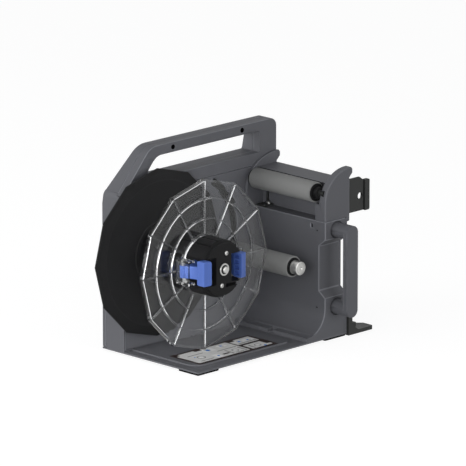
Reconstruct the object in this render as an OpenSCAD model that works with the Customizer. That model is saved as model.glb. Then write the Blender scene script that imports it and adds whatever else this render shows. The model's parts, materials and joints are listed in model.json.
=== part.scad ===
// Label rewinder: a motor-driven spool in a carry frame, with a guide roller and a sprung dancer roller.
// Millimetres. X points to the printer side, -Y to the front, +Z up.
// The origin lies on the table, under the middle of the object. The sizes below count from the
// spindle axis along X and from the front face of the panel along Y.

/* [Base] */
// Distance from the spindle axis to the left edge
base_left = 49.5; // [46:0.5:60]
// Depth of the base in front of the panel
base_front = 135; // [130:1:150]
// Thickness of the base plate
base_t = 2; // [1.5:0.1:3]
// Height of the raised floor above the plate
floor_raise = 1.8; // [1:0.1:2.5]
// Border between the raised floor and the plate's sides
floor_margin = 14; // [10:1:20]
// Border between the raised floor and the plate's front edge
floor_front = 18; // [12:1:22]
// Radius of the raised floor's left front corner
floor_r = 18; // [10:1:30]
// Height of the rubber feet
foot_h = 2.7; // [2:0.1:5]
// Width of a foot, along X
foot_w = 38; // [20:1:40]
// Length of a foot, along Y
foot_l = 36; // [20:1:40]
// Distance of the feet from the plate's edges
foot_inset = 1; // [0.5:0.5:6]
// How much further in from the sides the rear pads are
foot_step = 8; // [0:0.5:12]
// Distance of the housing's left base screw from its left side
base_screw_left = 60; // [50:1:80]
// Distance of the housing's right base screw from its right side
base_screw_right = 70; // [50:1:90]
// Distance of the tower's front base screw from the base's front
base_screw_front = 9; // [7:0.5:12]
// Distance of the tower's rear base screw from the panel
base_screw_back = 40; // [30:1:60]
// Width of the label on the floor
label_w = 142; // [80:1:145]
// Depth of the label
label_d = 56; // [30:1:57]
// Thickness of the label
label_t = 0.3; // [0.2:0.1:0.6]
// Distance from the spindle axis to the label's left edge
label_left = 25.6; // [15:0.1:30]
// Distance from the panel to the label's near edge
label_back = 58.5; // [55:0.5:60]

/* [Housing] */
// Height of the spindle axis above the table
spindle_z = 130.5; // [127:0.5:136]
// Distance from the spindle axis to the right side of the housing
housing_right = 229; // [226:1:236]
// Depth of the housing at its lower part
housing_depth = 39; // [38:0.5:46]
// Depth of the housing at the top of the handle
top_depth = 24; // [20:0.5:30]
// Height where the back starts to lean forward
slope_z = 195; // [180:1:205]
// Height of the floor of the handle slot
slot_floor = 225; // [220:1:236]
// Height of the handle slot
slot_h = 28.6; // [24:0.1:34]
// Height of the handle bar
bar_h = 13.4; // [12:0.1:18]
// Reach of the slot to the left of the spindle axis, at its floor
slot_left = 14; // [5:1:18]
// Reach of the slot to the right of the spindle axis
slot_right = 197.6; // [180:0.1:205]
// Radius of the slot's right corners
slot_r = 2; // [1:0.5:8]
// Width of the sloped corner
chamfer_w = 49; // [40:1:56]
// Height of the sloped corner
chamfer_h = 57; // [50:1:57]
// Radius of the sloped corner's lower end
corner_r = 12; // [4:1:16]
// Radius of the sloped corner's upper end
shoulder_r = 28; // [16:1:34]
// Radius of the housing's right top corner
right_r = 11; // [6:1:13]
// Height of the seam between the front panel and the handle cover
seam_z = 209; // [200:1:212]
// Depth of the handle cover
cover_depth = 12; // [8:0.5:16]
// Wall of the moulded shells
wall = 2.5; // [2:0.1:4]
// Thickness of the front panel
panel_t = 3; // [2:0.1:4]
// Depth of the rear cover
rear_d = 6.5; // [5:0.5:10]
// Height of the top edge of the rear cover
rear_top = 166; // [150:1:168]
// Clearance between the rear cover and the drive
drive_gap = 0.5; // [0.5:0.1:2]
// Thickness of the steel chassis plate
chassis_t = 2.5; // [2:0.1:4]
// Clear depth between the front panel and the chassis plate
gear_room = 9; // [8:0.5:10]
// Rim inside the main frame that carries the chassis plate
ledge_w = 8; // [6:0.5:12]
// Distance of the panel's left pillars from the housing's left side
pillar_left = 14; // [13:0.5:20]
// Distance of the panel's right pillars from the housing's right side
pillar_right = 20; // [14:0.5:26]
// Distance of the panel's pillars from its lower and upper edges
pillar_edge = 15; // [12:0.5:20]
// Diameter of the panel's pillars
pillar_d = 8; // [6:0.5:10]
// Spread of the two handle screws
handle_screw_spread = 125.7; // [100:0.1:150]
// Distance from the spindle axis to the left handle screw
handle_screw_x = 39.9; // [30:0.1:60]
// Diameter of the handle screw wells
well_d = 6.5; // [6:0.1:8]

/* [Spool] */
// Corner radius of the twelve-sided rear flange
rear_flange_r = 111; // [100:1:114]
// Thickness of the rear flange, bevel included
rear_flange_t = 13; // [10:0.5:16]
// Depth of the rear flange's bevel
bevel_t = 4; // [2:0.5:6]
// Thickness of the rear flange's rim behind the bevel
rim_t = 1.5; // [1:0.1:3]
// Radius of the rear flange's flat face
rear_face_r = 95; // [80:1:97]
// Running gap between the panel and the rear flange
panel_gap = 3; // [2:0.5:6]
// Radius of the hub
hub_r = 37.5; // [36:0.1:38]
// Length of the hub in front of the rear flange
hub_len = 112; // [108:1:120]
// Taper at the front end of the hub's shells
hub_taper = 3; // [1:0.5:4]
// Thickness of the hub's end plate
end_t = 4; // [3:0.5:6]
// Half width of the hub core, between the lever channels
core_half = 13.5; // [12:0.5:15]
// Height of the lever channels
channel_h = 36.5; // [36:0.5:40]
// Width of the slit for the label's leading edge
slit_w = 3; // [2:0.1:3.5]
// Thickness of the lip above the slit
slit_lip = 2.2; // [2:0.1:3]
// Depth of the slit's end, from the spindle axis
slit_x = 6; // [4:0.5:14]
// Depth of the grooves along the hub shells
groove_d = 1.5; // [1:0.1:2]
// Diameter of the spindle shaft
shaft_d = 15; // [12:0.5:16]
// Corner radius of the clear front flange
clear_r = 112; // [100:1:114]
// Thickness of the clear flange
clear_t = 2.5; // [2:0.1:4]
// Room between the two flanges
roll_gap = 77; // [60:1:82]
// Height of the ribs on the clear flange
rib_h = 2.5; // [1.5:0.1:4]
// Width of the ribs on the clear flange
rib_w = 2; // [1.5:0.1:3]
// Radius of the outer ring rib
ring_outer = 86; // [80:1:92]
// Radius of the inner ring rib
ring_inner = 60; // [56:1:70]
// Sliding gap between the clear flange and the hub
slide_gap = 0.5; // [0.3:0.1:0.8]

/* [Levers] */
// Distance of the lever pins from the spindle axis
pin_x = 42; // [41.5:0.1:43]
// Distance of the lever pins in front of the clear flange
pin_y = 6; // [5.5:0.1:7]
// Diameter of a lever pin
pin_d = 4; // [3:0.1:4.5]
// Reach of a lever in front of the clear flange's plate
lever_reach = 41.6; // [38:0.1:44]
// Height of a lever's paddle
paddle_h = 32; // [28:0.5:34]
// Width of a lever's paddle
paddle_w = 10.5; // [8:0.1:11]
// Length of a lever's paddle on its inner side
paddle_l = 19.4; // [15:0.1:20]
// Slant of the paddle's front and back faces
paddle_slant = 3.4; // [1:0.1:4]
// Outer face of the paddle, from the spindle axis
paddle_x = 37.4; // [34:0.1:37.5]
// Height of the lever's arm
lever_h = 16; // [12:0.5:18]
// Thickness of the lever's arm
lever_t = 4.5; // [3.5:0.1:5]
// Gap between the lever's nose and the hub core at rest
nose_gap = 0.3; // [0.2:0.1:0.6]
// Wall of the clear shroud round a lever
shroud_t = 2; // [1.5:0.1:2.5]
// Length of the clear shroud
shroud_l = 22; // [16:0.5:23]

/* [Rollers] */
// Diameter of the guide roller
guide_d = 27; // [24:0.5:28]
// Distance of the guide roller's axis from the spindle axis
guide_x = 183; // [180:0.5:184]
// Height of the guide roller's axis
guide_z = 195.5; // [194:0.5:197]
// Diameter of the guide roller's axle
axle_d = 8; // [6:0.5:10]
// Diameter of the axle's front end, in the front cheek
axle_end_d = 4.5; // [3:0.1:6]
// Diameter of the guide roller's end caps
cap_d = 23; // [20:0.5:24]
// Length of the guide roller's front cap outside the sleeve
cap_t = 1.5; // [1:0.1:3]
// Length of the guide roller's rear cap outside the sleeve
rear_cap_t = 3.6; // [1:0.1:5]
// Diameter of the axle's front holder
holder_d = 16; // [12:0.5:16.5]
// Depth of the axle's front holder
holder_t = 5.5; // [4:0.5:6]
// Wall of the roller sleeves
sleeve_t = 3; // [2:0.1:4]
// Diameter of the dancer roller
dancer_d = 28; // [24:0.5:30]
// Length of the dancer roller
dancer_l = 112; // [104:1:114]
// Diameter of the dancer shaft
dancer_shaft_d = 10; // [8:0.5:11]
// Distance of the dancer's pivot from the spindle axis
pivot_x = 69; // [66:0.5:72]
// Height of the dancer's pivot above the spindle axis
pivot_dz = 1.6; // [0:0.1:3]
// Length of the dancer arm
arm_l = 81; // [78:0.5:84]
// Angle of the dancer arm at rest, below level
arm_rest = 21; // [18:1:24]
// Swing of the dancer arm
arm_swing = 72; // [60:1:74]
// Thickness of the dancer arm
arm_t = 4; // [3:0.1:4.5]
// Length of the steel knob at the dancer shaft's end
knob_l = 12; // [10:0.5:14]
// Diameter of the steel knob
knob_d = 18; // [15:0.5:20]
// Length of the black collar beside the knob
collar_l = 1; // [0.8:0.1:2]
// Diameter of the black collar
collar_d = 24; // [22:0.5:25]
// Radial running clearance of the turning fits
run_gap = 0.05; // [0.03:0.01:0.08]

/* [Tower] */
// Distance of the tower's inner face from the spindle axis
tower_x = 181.3; // [180:0.1:186]
// Distance of the tower's outer face from the spindle axis
tower_out = 222; // [220:0.5:223]
// Radius of the curve at the tower's foot
fillet_r = 33; // [26:1:36]
// Height of the tower's toe above the base plate
toe_h = 5.5; // [4:0.5:8]
// Distance of the toe's notch from the panel
notch_y = 64; // [50:1:80]
// Width of the toe's notch
notch_w = 10; // [6:0.5:14]
// Reach of the toe's notch into the toe
notch_l = 9; // [6:0.5:12]
// Height of the ledge under the guide roller
ledge_z = 158.5; // [157:0.5:162]
// Thickness of the tower's outer cover
tower_cover_t = 2.8; // [2:0.1:4]
// Depth of the finger recess
recess_d = 11.4; // [8:0.1:13]
// Height of the recess's lower edge
recess_low = 57; // [55:0.5:62]
// Height of the recess's upper edge
recess_high = 134.5; // [128:0.5:134.5]
// Rise of the recess's sloped ends
recess_ramp = 9; // [6:0.5:12]
// Thickness of the front cheek at its foot
cheek_t = 19; // [17:0.5:22]
// Thickness of the front cheek beside the guide axle
upper_t = 11; // [10:0.5:12]
// Height of the step in the front cheek
step_z = 181; // [178:0.5:181]
// Height of the curve at the cheeks' tops
swell_h = 42; // [36:1:46]
// Thickness of the rear cheek
rear_cheek_t = 4; // [3:0.5:6]
// Height of the top of the cheeks
cheek_top = 224; // [222:0.5:230]
// Height of the cheeks' tips, between their cut corners
tip_h = 5; // [3:0.5:8]
// Cut of the corner above the cheeks' tips
tip_cut = 3; // [2:0.5:4]
// Reach of the cheeks' tips from the spindle axis
cheek_tip = 232; // [230:0.5:235]
// Back edge of the cheeks, from the spindle axis
cheek_back = 226; // [225:0.5:227]
// Distance of the hood's wall from the spindle axis
hood_x = 200; // [198:0.5:205]
// Thickness of the hood
hood_t = 3; // [2:0.1:4]
// Height of the hood's top
hood_top = 208.5; // [208.5:0.5:212]

/* [Side handle] */
// Distance of the side handle from the spindle axis
grip_x = 203; // [200:0.5:206]
// Width of the side handle's bar and posts
grip_w = 19.6; // [16:0.1:20]
// Thickness of the bar
grip_t = 8; // [6:0.5:10]
// Distance of the bar's front from the tower
grip_out = 28.2; // [22:0.1:32]
// Height of the lower post
grip_low = 43; // [42:0.5:44]
// Spread of the two posts
grip_spread = 102.5; // [102:0.1:103]
// Width of the ring groove round a post
groove_w = 1.8; // [0.5:0.1:2.5]
// Depth of the ring groove round a post
groove_t = 3; // [2:0.5:4]
// Diameter of the cross pins in the posts
cross_d = 2.5; // [2:0.1:3]

/* [Docking brackets] */
// Thickness of the upper bracket's plate
dock_t = 3; // [2:0.1:3.4]
// Reach of the upper bracket beyond the cheek
dock_out = 26.5; // [20:0.5:34]
// Height of the upper bracket's plate
dock_h = 45; // [36:0.5:45]
// Height of the upper bracket's lower edge
dock_z = 162.5; // [162:0.5:166]
// Diameter of the upper bracket's hole
dock_hole = 9; // [6:0.5:12]
// Groove between the plate and the hook
hook_gap = 3; // [2:0.1:5]
// Length of the hook at the bracket's end
hook_l = 8.5; // [6:0.5:12]
// Reach of the lower bracket's tongue beyond the tower
tongue_out = 46; // [34:0.5:48]
// Width of the tongue
tongue_w = 26; // [18:0.5:32]
// Thickness of the tongue
tongue_t = 5; // [3:0.5:6]
// Reach of the lower bracket in front of the tower
toe_out = 3.5; // [2:0.1:9]
// Width of the lower bracket's upright
upright_w = 7; // [4:0.1:8]
// Thickness of the lower bracket's front web
web_t = 5; // [4:0.1:8]
// Height of the lower bracket's upright
upright_h = 26.5; // [22:0.5:28]
// Height of the lower bracket's step beside the tower
step_h = 15.5; // [13:0.5:18]
// Width of the lower bracket's step
step_w = 16; // [8:0.1:18]
// Gap between the lower bracket and the table
tongue_gap = 0.6; // [0.5:0.1:1]

/* [Drive] */
// Gear module
gear_m = 1; // [0.8:0.05:1.05]
// Teeth on the spool gear
gear_teeth = 64; // [60:1:66]
// Teeth on the motor pinion
pinion_teeth = 16; // [14:1:18]
// Width of the gears
gear_t = 5; // [4:0.5:6]
// Direction of the motor from the spindle axis
motor_angle = -60; // [-80:1:-40]
// Diameter of the motor
motor_d = 37; // [30:0.5:40]
// Length of the motor
motor_l = 19; // [14:0.5:19.5]
// Diameter of the motor's shaft
motor_shaft_d = 6; // [4:0.5:7]
// Outer diameter of a spindle bearing
bearing_d = 28; // [26:0.5:30]
// Width of a spindle bearing
bearing_w = 7; // [5:0.5:8]
// Wall of the bearing carrier
carrier_t = 4; // [3:0.5:5]
// Length of the bearing carrier
carrier_l = 18; // [17:0.5:19]
// Diameter of the carrier's flange
carrier_flange_d = 52; // [50:0.5:56]
// Diameter of the chassis screws
screw_d = 3; // [2.5:0.1:4]
// Distance of the power inlet from the spindle axis
inlet_x = 150; // [120:1:180]
// Height of the power inlet
inlet_z = 40; // [30:1:60]
// Diameter of the power inlet
inlet_d = 11; // [9:0.5:14]
// Rim of the inlet outside the rear cover
inlet_rim = 0.6; // [0.4:0.1:1]
// Distance of the circuit board's left edge from the spindle axis
board_x = 50; // [45:1:60]
// Height of the circuit board's lower edge
board_z = 32; // [26:1:40]
// Diameter of the circuit board's pillars
board_pillar_d = 6; // [5:0.5:8]
// Width of the circuit board
board_w = 70; // [50:1:76]
// Height of the circuit board
board_h = 44; // [30:1:48]

/* [Hidden] */
$fn = 64;

GREY = [0.36, 0.37, 0.39];
DARK = [0.16, 0.16, 0.17];
BLACK = [0.08, 0.08, 0.085];
STEEL = [0.75, 0.75, 0.74];
BLUE = [0.26, 0.36, 0.66];
ROLLER = [0.5, 0.51, 0.5];

// Heights and planes that follow from the sizes above
base_top = foot_h + base_t;
floor_top = base_top + floor_raise;
top_z = slot_floor + slot_h + bar_h;
seam_gap = 0.4;
fit_gap = 0.2;
chassis_y = panel_t + gear_room;
chassis_back = chassis_y + chassis_t;
rear_y = housing_depth - rear_d;
spindle_back = chassis_back + carrier_l + 2;
rear_inner = max(housing_depth - wall, max(spindle_back, chassis_back + motor_l) + drive_gap);
rear_out = rear_inner + wall;
flange_back_y = -panel_gap;
face_y = flange_back_y - rear_flange_t;
clear_y = face_y - roll_gap;
clear_front = clear_y - clear_t;
hub_end_y = face_y - hub_len;
toe_x = tower_x - fillet_r;
cover_in = tower_out - tower_cover_t;
cheek_y = cheek_t - base_front;
upper_back = upper_t - base_front;
cap_front = upper_back + holder_t + 0.5;
axle_hold = 5;
arm_y = panel_t + 1.2;
pivot_z = spindle_z + pivot_dz;
roller_x = pivot_x + arm_l * cos(arm_rest);
roller_z = pivot_z - arm_l * sin(arm_rest);
roller_gap = 1.5;
slot_spare = 3;
sleeve_end = -roller_gap - dancer_l;
gear_y = panel_t + 1.6;
mesh_d = gear_m * (gear_teeth + pinion_teeth) / 2;
motor_x = mesh_d * cos(motor_angle);
motor_z = spindle_z + mesh_d * sin(motor_angle);
lever_pin_y = clear_front - pin_y;
board_y = chassis_back + 5;
ear_t = 3;
lever_room = lever_h / 2 + 5;
ear_top = lever_room + ear_t;
shroud_x = pin_x + lever_t / 2 + 2.8;
dock_left = cheek_back - 18;
dock_y = 1.4 - base_front;
hole_x = cheek_back + 0.81 * dock_out;
hole_z = dock_z + 0.44 * dock_h;
clip_y = -rear_cheek_t - 19.3;
clip_t = 2.4;
clip_screw_x = tower_x + 13;
cross_y = recess_d + 3.4 - base_front;
post_end = recess_d + 6.6 - base_front;
deep_y = recess_d - base_front;
spring_wire = 0.9;
spring_pitch = 1.3;
lever_wire = 0.7;
handle_screw_z = top_z - bar_h / 2;
rim_x = [-base_left + wall + ledge_w / 2, housing_right - wall - ledge_w / 2];
head_d = 2 * screw_d;
head_t = 0.6 * screw_d;

// Middle of the whole object, seen from above
right_end = max(tower_out + tongue_out, cheek_back + dock_out + hook_gap + hook_l);
left_end = max(rear_flange_r, clear_r);
front_end = base_front + grip_out;
back_end = rear_out + inlet_rim;
middle_x = (right_end - left_end) / 2;
middle_y = (back_end - front_end) / 2;

// Moves a piece so that the origin lies under the middle of the object
module seat() {
    translate([-middle_x, -middle_y, 0]) children();
}

// Solid of a flat X-Z outline between two Y planes
module along_y(y0, y1) {
    translate([0, y1, 0]) rotate([90, 0, 0]) linear_extrude(y1 - y0) children();
}

// Solid of a flat Y-Z outline between two X planes
module along_x(x0, x1) {
    translate([x0, 0, 0]) rotate([90, 0, 90]) linear_extrude(x1 - x0) children();
}

// Round bar along Y
module rod_y(x, z, y0, y1, d) {
    translate([x, y1, z]) rotate([90, 0, 0]) cylinder(d = d, h = y1 - y0);
}

// Round bar along X
module rod_x(y, z, x0, x1, d) {
    translate([x0, y, z]) rotate([0, 90, 0]) cylinder(d = d, h = x1 - x0);
}

// Round bar along Z
module rod_z(x, y, z0, z1, d) {
    translate([x, y, z0]) cylinder(d = d, h = z1 - z0);
}

// Block between two corners
module block(a, b) {
    translate(a) cube(b - a);
}

function unit(v) = v / norm(v);

// Points of one rounded corner of an outline
function corner(a, p, b, r, n) =
    let (u = unit(a - p), v = unit(b - p), half = acos(u * v) / 2,
        c = p + unit(u + v) * r / sin(half), s = p + u * r / tan(half) - c, e = p + v * r / tan(half) - c,
        t0 = atan2(s.y, s.x), turn = atan2(s.x * e.y - s.y * e.x, s * e))
    r <= 0 ? [p] : [for (i = [0:n]) c + r * [cos(t0 + turn * i / n), sin(t0 + turn * i / n)]];

// Outline with rounded corners
function rounded(pts, radii, n = 8) =
    let (k = len(pts))
    [for (i = [0:k - 1]) each corner(pts[(i + k - 1) % k], pts[i], pts[(i + 1) % k], radii[i], n)];

// Twelve-sided outline with a corner at the top
module dodecagon(r) {
    rotate(90) circle(r = r, $fn = 12);
}

// Gear outline, with a tooth on the +X axis when turn is 0
module gear_outline(teeth, turn) {
    pitch = 360 / teeth;
    r = gear_m * teeth / 2;
    tip = r + 0.85 * gear_m;
    root = r - 1.15 * gear_m;
    polygon([for (i = [0:teeth - 1], k = [[-0.31, root], [-0.11, tip], [0.11, tip], [0.31, root]])
        let (a = turn + (i + k[0]) * pitch) k[1] * [cos(a), sin(a)]]);
}

// Screw with a round head, along +Y from the seat of its head
module screw_y(x, z, y_seat, shank, d = screw_d) {
    rod_y(x, z, y_seat - 0.6 * d, y_seat, 2 * d);
    rod_y(x, z, y_seat - 0.1, y_seat + shank, d);
}

// Helix about Z with straight legs at both ends
function coil_points(r, pitch, turns, leg_in, leg_out, per_turn = 8) =
    let (n = floor(turns * per_turn), last = 360 * n / per_turn)
    concat([[r, -leg_in, 0]],
        [for (i = [0:n]) [r * cos(360 * i / per_turn), r * sin(360 * i / per_turn), pitch * i / per_turn]],
        [[r * cos(last) - leg_out * sin(last), r * sin(last) + leg_out * cos(last), pitch * n / per_turn]]);

// Least clear distance between turns of a coil
function coil_gap(pts, wire, apart = 5) =
    min([for (i = [0:len(pts) - 1], j = [i + apart:1:len(pts) - 1]) norm(pts[i] - pts[j]) - wire]);

// One unbroken wire through a list of points that never run along Z
module wire_tube(pts, wire, sides = 6) {
    n = len(pts);
    function heading(i) = unit(pts[min(i + 1, n - 1)] - pts[max(i - 1, 0)]);
    ring = [for (i = [0:n - 1]) let (t = heading(i), u = unit(cross(t, [0, 0, 1])), v = cross(u, t))
        for (k = [0:sides - 1]) pts[i] + wire / 2 * (u * cos(360 * k / sides) + v * sin(360 * k / sides))];
    walls = [for (i = [0:n - 2], k = [0:sides - 1]) let (a = i * sides + k, b = i * sides + (k + 1) % sides)
        each [[a, a + sides, b], [b, a + sides, b + sides]]];
    first = [for (k = [1:sides - 2]) [0, k, k + 1]];
    z = (n - 1) * sides;
    last = [for (k = [1:sides - 2]) [z, z + k + 1, z + k]];
    polyhedron(ring, concat(walls, first, last));
}

// Base plate with its raised floor
module base_plate() {
    left = floor_margin - base_left;
    right = toe_x - floor_margin;
    front = floor_front - base_front;
    floor_pts = [[left, front], [right, front], [right, -fit_gap], [left, -fit_gap]];
    color(GREY) difference() {
        union() {
            block([-base_left, -base_front, foot_h], [tower_out, housing_depth, base_top]);
            translate([0, 0, foot_h]) linear_extrude(floor_top - foot_h)
                polygon(rounded(floor_pts, [floor_r, 6, 0, 0]));
        }
        base_screw_places() translate([0, 0, -1]) cylinder(d = screw_d, h = base_top + 2);
        base_screw_places() translate([0, 0, foot_h - 1]) cylinder(d = head_d + fit_gap, h = 1 + base_t / 2);
    }
}

// Places of the screws that hold the housing and the tower from below
module base_screw_places() {
    for (x = [base_screw_left - base_left, housing_right - base_screw_right])
        translate([x, chassis_back + ledge_w, 0]) children();
    for (y = [base_screw_front - base_front, -base_screw_back])
        translate([toe_x + fillet_r + 1.2, y, 0]) children();
}

module base_screws() {
    color(STEEL) base_screw_places() {
        translate([0, 0, foot_h]) cylinder(d = head_d, h = base_t / 2);
        translate([0, 0, foot_h]) cylinder(d = screw_d, h = base_t + 2.2);
    }
}

module foot_pads() {
    ends = [[foot_inset - base_front, foot_inset],
        [housing_depth - foot_inset - foot_l, foot_inset + foot_step]];
    color(BLACK) for (e = ends, x = [e[1] - base_left, tower_out - e[1] - foot_w])
        translate([x, e[0], 0]) linear_extrude(foot_h)
            polygon(rounded([[0, 0], [foot_w, 0], [foot_w, foot_l], [0, foot_l]], [2, 2, 2, 2], 6));
}

module label_plate() {
    color([0.8, 0.8, 0.79]) block([-label_left, -label_back - label_d, floor_top],
        [label_w - label_left, -label_back, floor_top + label_t]);
}

// Outer outline of the housing, seen from the front
module housing_outline() {
    polygon(rounded([[-base_left, base_top], [housing_right, base_top], [housing_right, top_z],
        [chamfer_w - base_left, top_z], [-base_left, top_z - chamfer_h]],
        [0, 0, right_r, shoulder_r, corner_r]));
}

// Opening of the carry handle
module slot_outline() {
    lean = slot_h * chamfer_w / chamfer_h;
    polygon(rounded([[-slot_left, slot_floor], [slot_right, slot_floor], [slot_right, slot_floor + slot_h],
        [lean - slot_left, slot_floor + slot_h]], [8, slot_r, slot_r, 18]));
}

// Space behind the leaning back
module back_lean() {
    run = housing_depth - top_depth;
    rise = top_z - slope_z;
    along_x(-base_left - 1, housing_right + 1)
        polygon([[housing_depth, slope_z], [housing_depth + 1, slope_z], [housing_depth + 1, top_z + 1],
            [top_depth - run / rise, top_z + 1]]);
}

// Frame of the housing: side walls, the rim for the chassis plate and the back half of the handle
module main_frame() {
    inner_x = [wall - base_left, housing_right - wall];
    color(GREY) difference() {
        along_y(0, housing_depth) housing_outline();
        back_lean();
        along_y(-1, housing_depth + 1) slot_outline();
        block([-base_left - 1, -1, seam_z], [housing_right + 1, cover_depth + seam_gap / 2, top_z + 1]);
        block([inner_x[0], -1, base_top + wall], [inner_x[1], chassis_back, seam_z + 1]);
        block([inner_x[0] + ledge_w, -1, base_top + wall + ledge_w],
            [inner_x[1] - ledge_w, housing_depth + 1, rear_top - ledge_w]);
        block([-base_left - 1, rear_y - fit_gap, base_top - 1],
            [housing_right + 1, housing_depth + 1, rear_top]);
        base_screw_places() translate([0, 0, base_top - 1]) cylinder(d = screw_d, h = 5);
        chassis_corner_places() rod_y(0, 0, chassis_back - 1, chassis_back + 7, screw_d);
        cover_screw_places() rod_y(0, 0, rear_y - 7, rear_y + 1, screw_d);
        handle_screw_places() rod_y(0, 0, cover_depth - 1, cover_depth + 6, screw_d);
    }
}

// Front cover of the upper housing, with the front half of the handle bar
module handle_cover() {
    color(GREY) difference() {
        along_y(0, cover_depth) intersection() {
            housing_outline();
            translate([-base_left - 1, seam_z + seam_gap]) square([base_left + housing_right + 2, top_z]);
        }
        along_y(-1, cover_depth + 1) slot_outline();
        block([0, wall, seam_z + seam_gap + wall], [slot_right, cover_depth + 1, slot_floor - wall]);
        handle_screw_places() rod_y(0, 0, -1, cover_depth - 4, well_d);
        handle_screw_places() rod_y(0, 0, -1, cover_depth + 1, screw_d);
    }
}

// Places of the two screws that hold the handle's halves together
module handle_screw_places() {
    for (i = [0, 1]) translate([handle_screw_x + i * handle_screw_spread, 0, handle_screw_z]) children();
}

module handle_screws() {
    color(STEEL) handle_screw_places() screw_y(0, 0, cover_depth - 4, 9);
}

// Arc slot that the dancer shaft passes through
module arc_slot(width) {
    steps = 24;
    low = -arm_rest - slot_spare;
    high = arm_swing - arm_rest + slot_spare + 2;
    angles = [for (i = [0:steps]) low + (high - low) * i / steps];
    centre = [pivot_x, pivot_z];
    polygon(concat(
        [for (a = angles) centre + (arm_l + width / 2) * [cos(a), sin(a)]],
        [for (i = [steps:-1:0]) centre + (arm_l - width / 2) * [cos(angles[i]), sin(angles[i])]]));
    for (a = [low, high]) translate(centre + arm_l * [cos(a), sin(a)]) circle(d = width);
}

module front_panel() {
    color(GREY) difference() {
        block([wall + fit_gap - base_left, 0, base_top + wall + fit_gap],
            [housing_right - wall - fit_gap, panel_t, seam_z - seam_gap / 2]);
        along_y(-1, panel_t + 1) arc_slot(dancer_shaft_d + 2);
        rod_y(0, spindle_z, -1, panel_t + 1, shaft_d + 8);
    }
}

// Places of the pillars between the chassis plate and the front panel
module standoff_places() {
    for (x = [pillar_left - base_left, housing_right - pillar_right],
        z = [base_top + pillar_edge, seam_z - pillar_edge]) translate([x, 0, z]) children();
}

module panel_standoffs() {
    color(STEEL) standoff_places() rod_y(0, 0, panel_t, chassis_y, pillar_d);
}

module chassis_corner_places() {
    for (x = rim_x, z = [base_top + 40, rear_top - 30]) translate([x, 0, z]) children();
}

module motor_screw_places() {
    ring = 0.36 * motor_d;
    for (a = [90, 210, 330]) translate([motor_x + ring * cos(a), 0, motor_z + ring * sin(a)]) children();
}

module carrier_screw_places() {
    ring = (carrier_flange_d + bearing_d + 2 * carrier_t) / 4;
    for (a = [30, 120, 210]) translate([ring * cos(a), 0, spindle_z + ring * sin(a)]) children();
}

module chassis_plate() {
    color(STEEL) difference() {
        block([wall + fit_gap - base_left, chassis_y, base_top + wall + fit_gap],
            [housing_right - wall - fit_gap, chassis_back, seam_z - fit_gap]);
        rod_y(0, spindle_z, chassis_y - 1, chassis_back + 1, shaft_d + 4);
        rod_y(motor_x, motor_z, chassis_y - 1, chassis_back + 1, motor_shaft_d + 4);
        rod_y(pivot_x, pivot_z, chassis_y - 1, chassis_back + 1, dancer_shaft_d * 0.6);
        motor_screw_places() rod_y(0, 0, chassis_y - 1, chassis_back + 1, screw_d);
        carrier_screw_places() rod_y(0, 0, chassis_y - 1, chassis_back + 1, screw_d);
        chassis_corner_places() rod_y(0, 0, chassis_y - 1, chassis_back + 1, screw_d);
    }
}

// Screws with flat heads sunk in front of the chassis plate
module chassis_screw(shank) {
    rod_y(0, 0, chassis_y - 0.9, chassis_y, head_d);
    rod_y(0, 0, chassis_y - 0.5, chassis_back + shank, screw_d - fit_gap);
}

module chassis_screws() {
    color(STEEL) {
        motor_screw_places() chassis_screw(4);
        carrier_screw_places() chassis_screw(2.5);
        chassis_corner_places() chassis_screw(6);
    }
}

module cover_screw_places() {
    for (x = rim_x, z = [base_top + 22, rear_top - 12]) translate([x, 0, z]) children();
}

// Shallow rear cover of the housing
module rear_cover() {
    color(GREY) difference() {
        block([-base_left, rear_y, base_top + 1], [housing_right, rear_out, rear_top - fit_gap]);
        block([wall + ledge_w - base_left, rear_y - 1, base_top + wall + ledge_w],
            [housing_right - wall - ledge_w, rear_inner, rear_top - ledge_w]);
        cover_screw_places() rod_y(0, 0, rear_y - 1, rear_out + 1, screw_d);
        cover_screw_places() rod_y(0, 0, rear_out - head_t, rear_out + 1, head_d + fit_gap);
        rod_y(inlet_x, inlet_z, rear_inner - 1, rear_out + 1, inlet_d + fit_gap);
    }
}

module cover_screws() {
    color(STEEL) cover_screw_places() {
        rod_y(0, 0, rear_out - head_t, rear_out, head_d);
        rod_y(0, 0, rear_y - 6, rear_out - 0.5, screw_d - fit_gap);
    }
}

// Barrel socket for the supply lead
module power_inlet() {
    color(BLACK) difference() {
        union() {
            rod_y(inlet_x, inlet_z, rear_inner - 9, rear_out + inlet_rim, inlet_d);
            rod_y(inlet_x, inlet_z, rear_inner - 2.5, rear_inner, inlet_d + 4);
        }
        rod_y(inlet_x, inlet_z, rear_inner - 7, rear_out + 1, 6.4);
    }
    color(STEEL) rod_y(inlet_x, inlet_z, rear_inner - 7.5, rear_out - 0.5, 2.1);
}

module board_corner_places() {
    for (x = [board_x + 5, board_x + board_w - 5], z = [board_z + 5, board_z + board_h - 5])
        translate([x, 0, z]) children();
}

module circuit_board() {
    color([0.1, 0.35, 0.2]) {
        difference() {
            block([board_x, board_y, board_z], [board_x + board_w, board_y + 1.6, board_z + board_h]);
            board_corner_places() rod_y(0, 0, board_y - 1, board_y + 3, screw_d);
        }
        block([board_x + 12, board_y + 1.5, board_z + 12], [board_x + 28, board_y + 3.4, board_z + 28]);
        block([board_x + 36, board_y + 1.5, board_z + board_h - 12],
            [board_x + 58, board_y + 8, board_z + board_h - 5]);
        for (i = [0:2]) rod_y(board_x + 38 + 9 * i, board_z + 12, board_y + 1.5, board_y + 9, 6);
    }
}

module board_standoffs() {
    color(STEEL) board_corner_places() {
        rod_y(0, 0, chassis_back, board_y, board_pillar_d);
        rod_y(0, 0, board_y - 0.5, board_y + 3, screw_d - fit_gap);
    }
}

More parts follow.
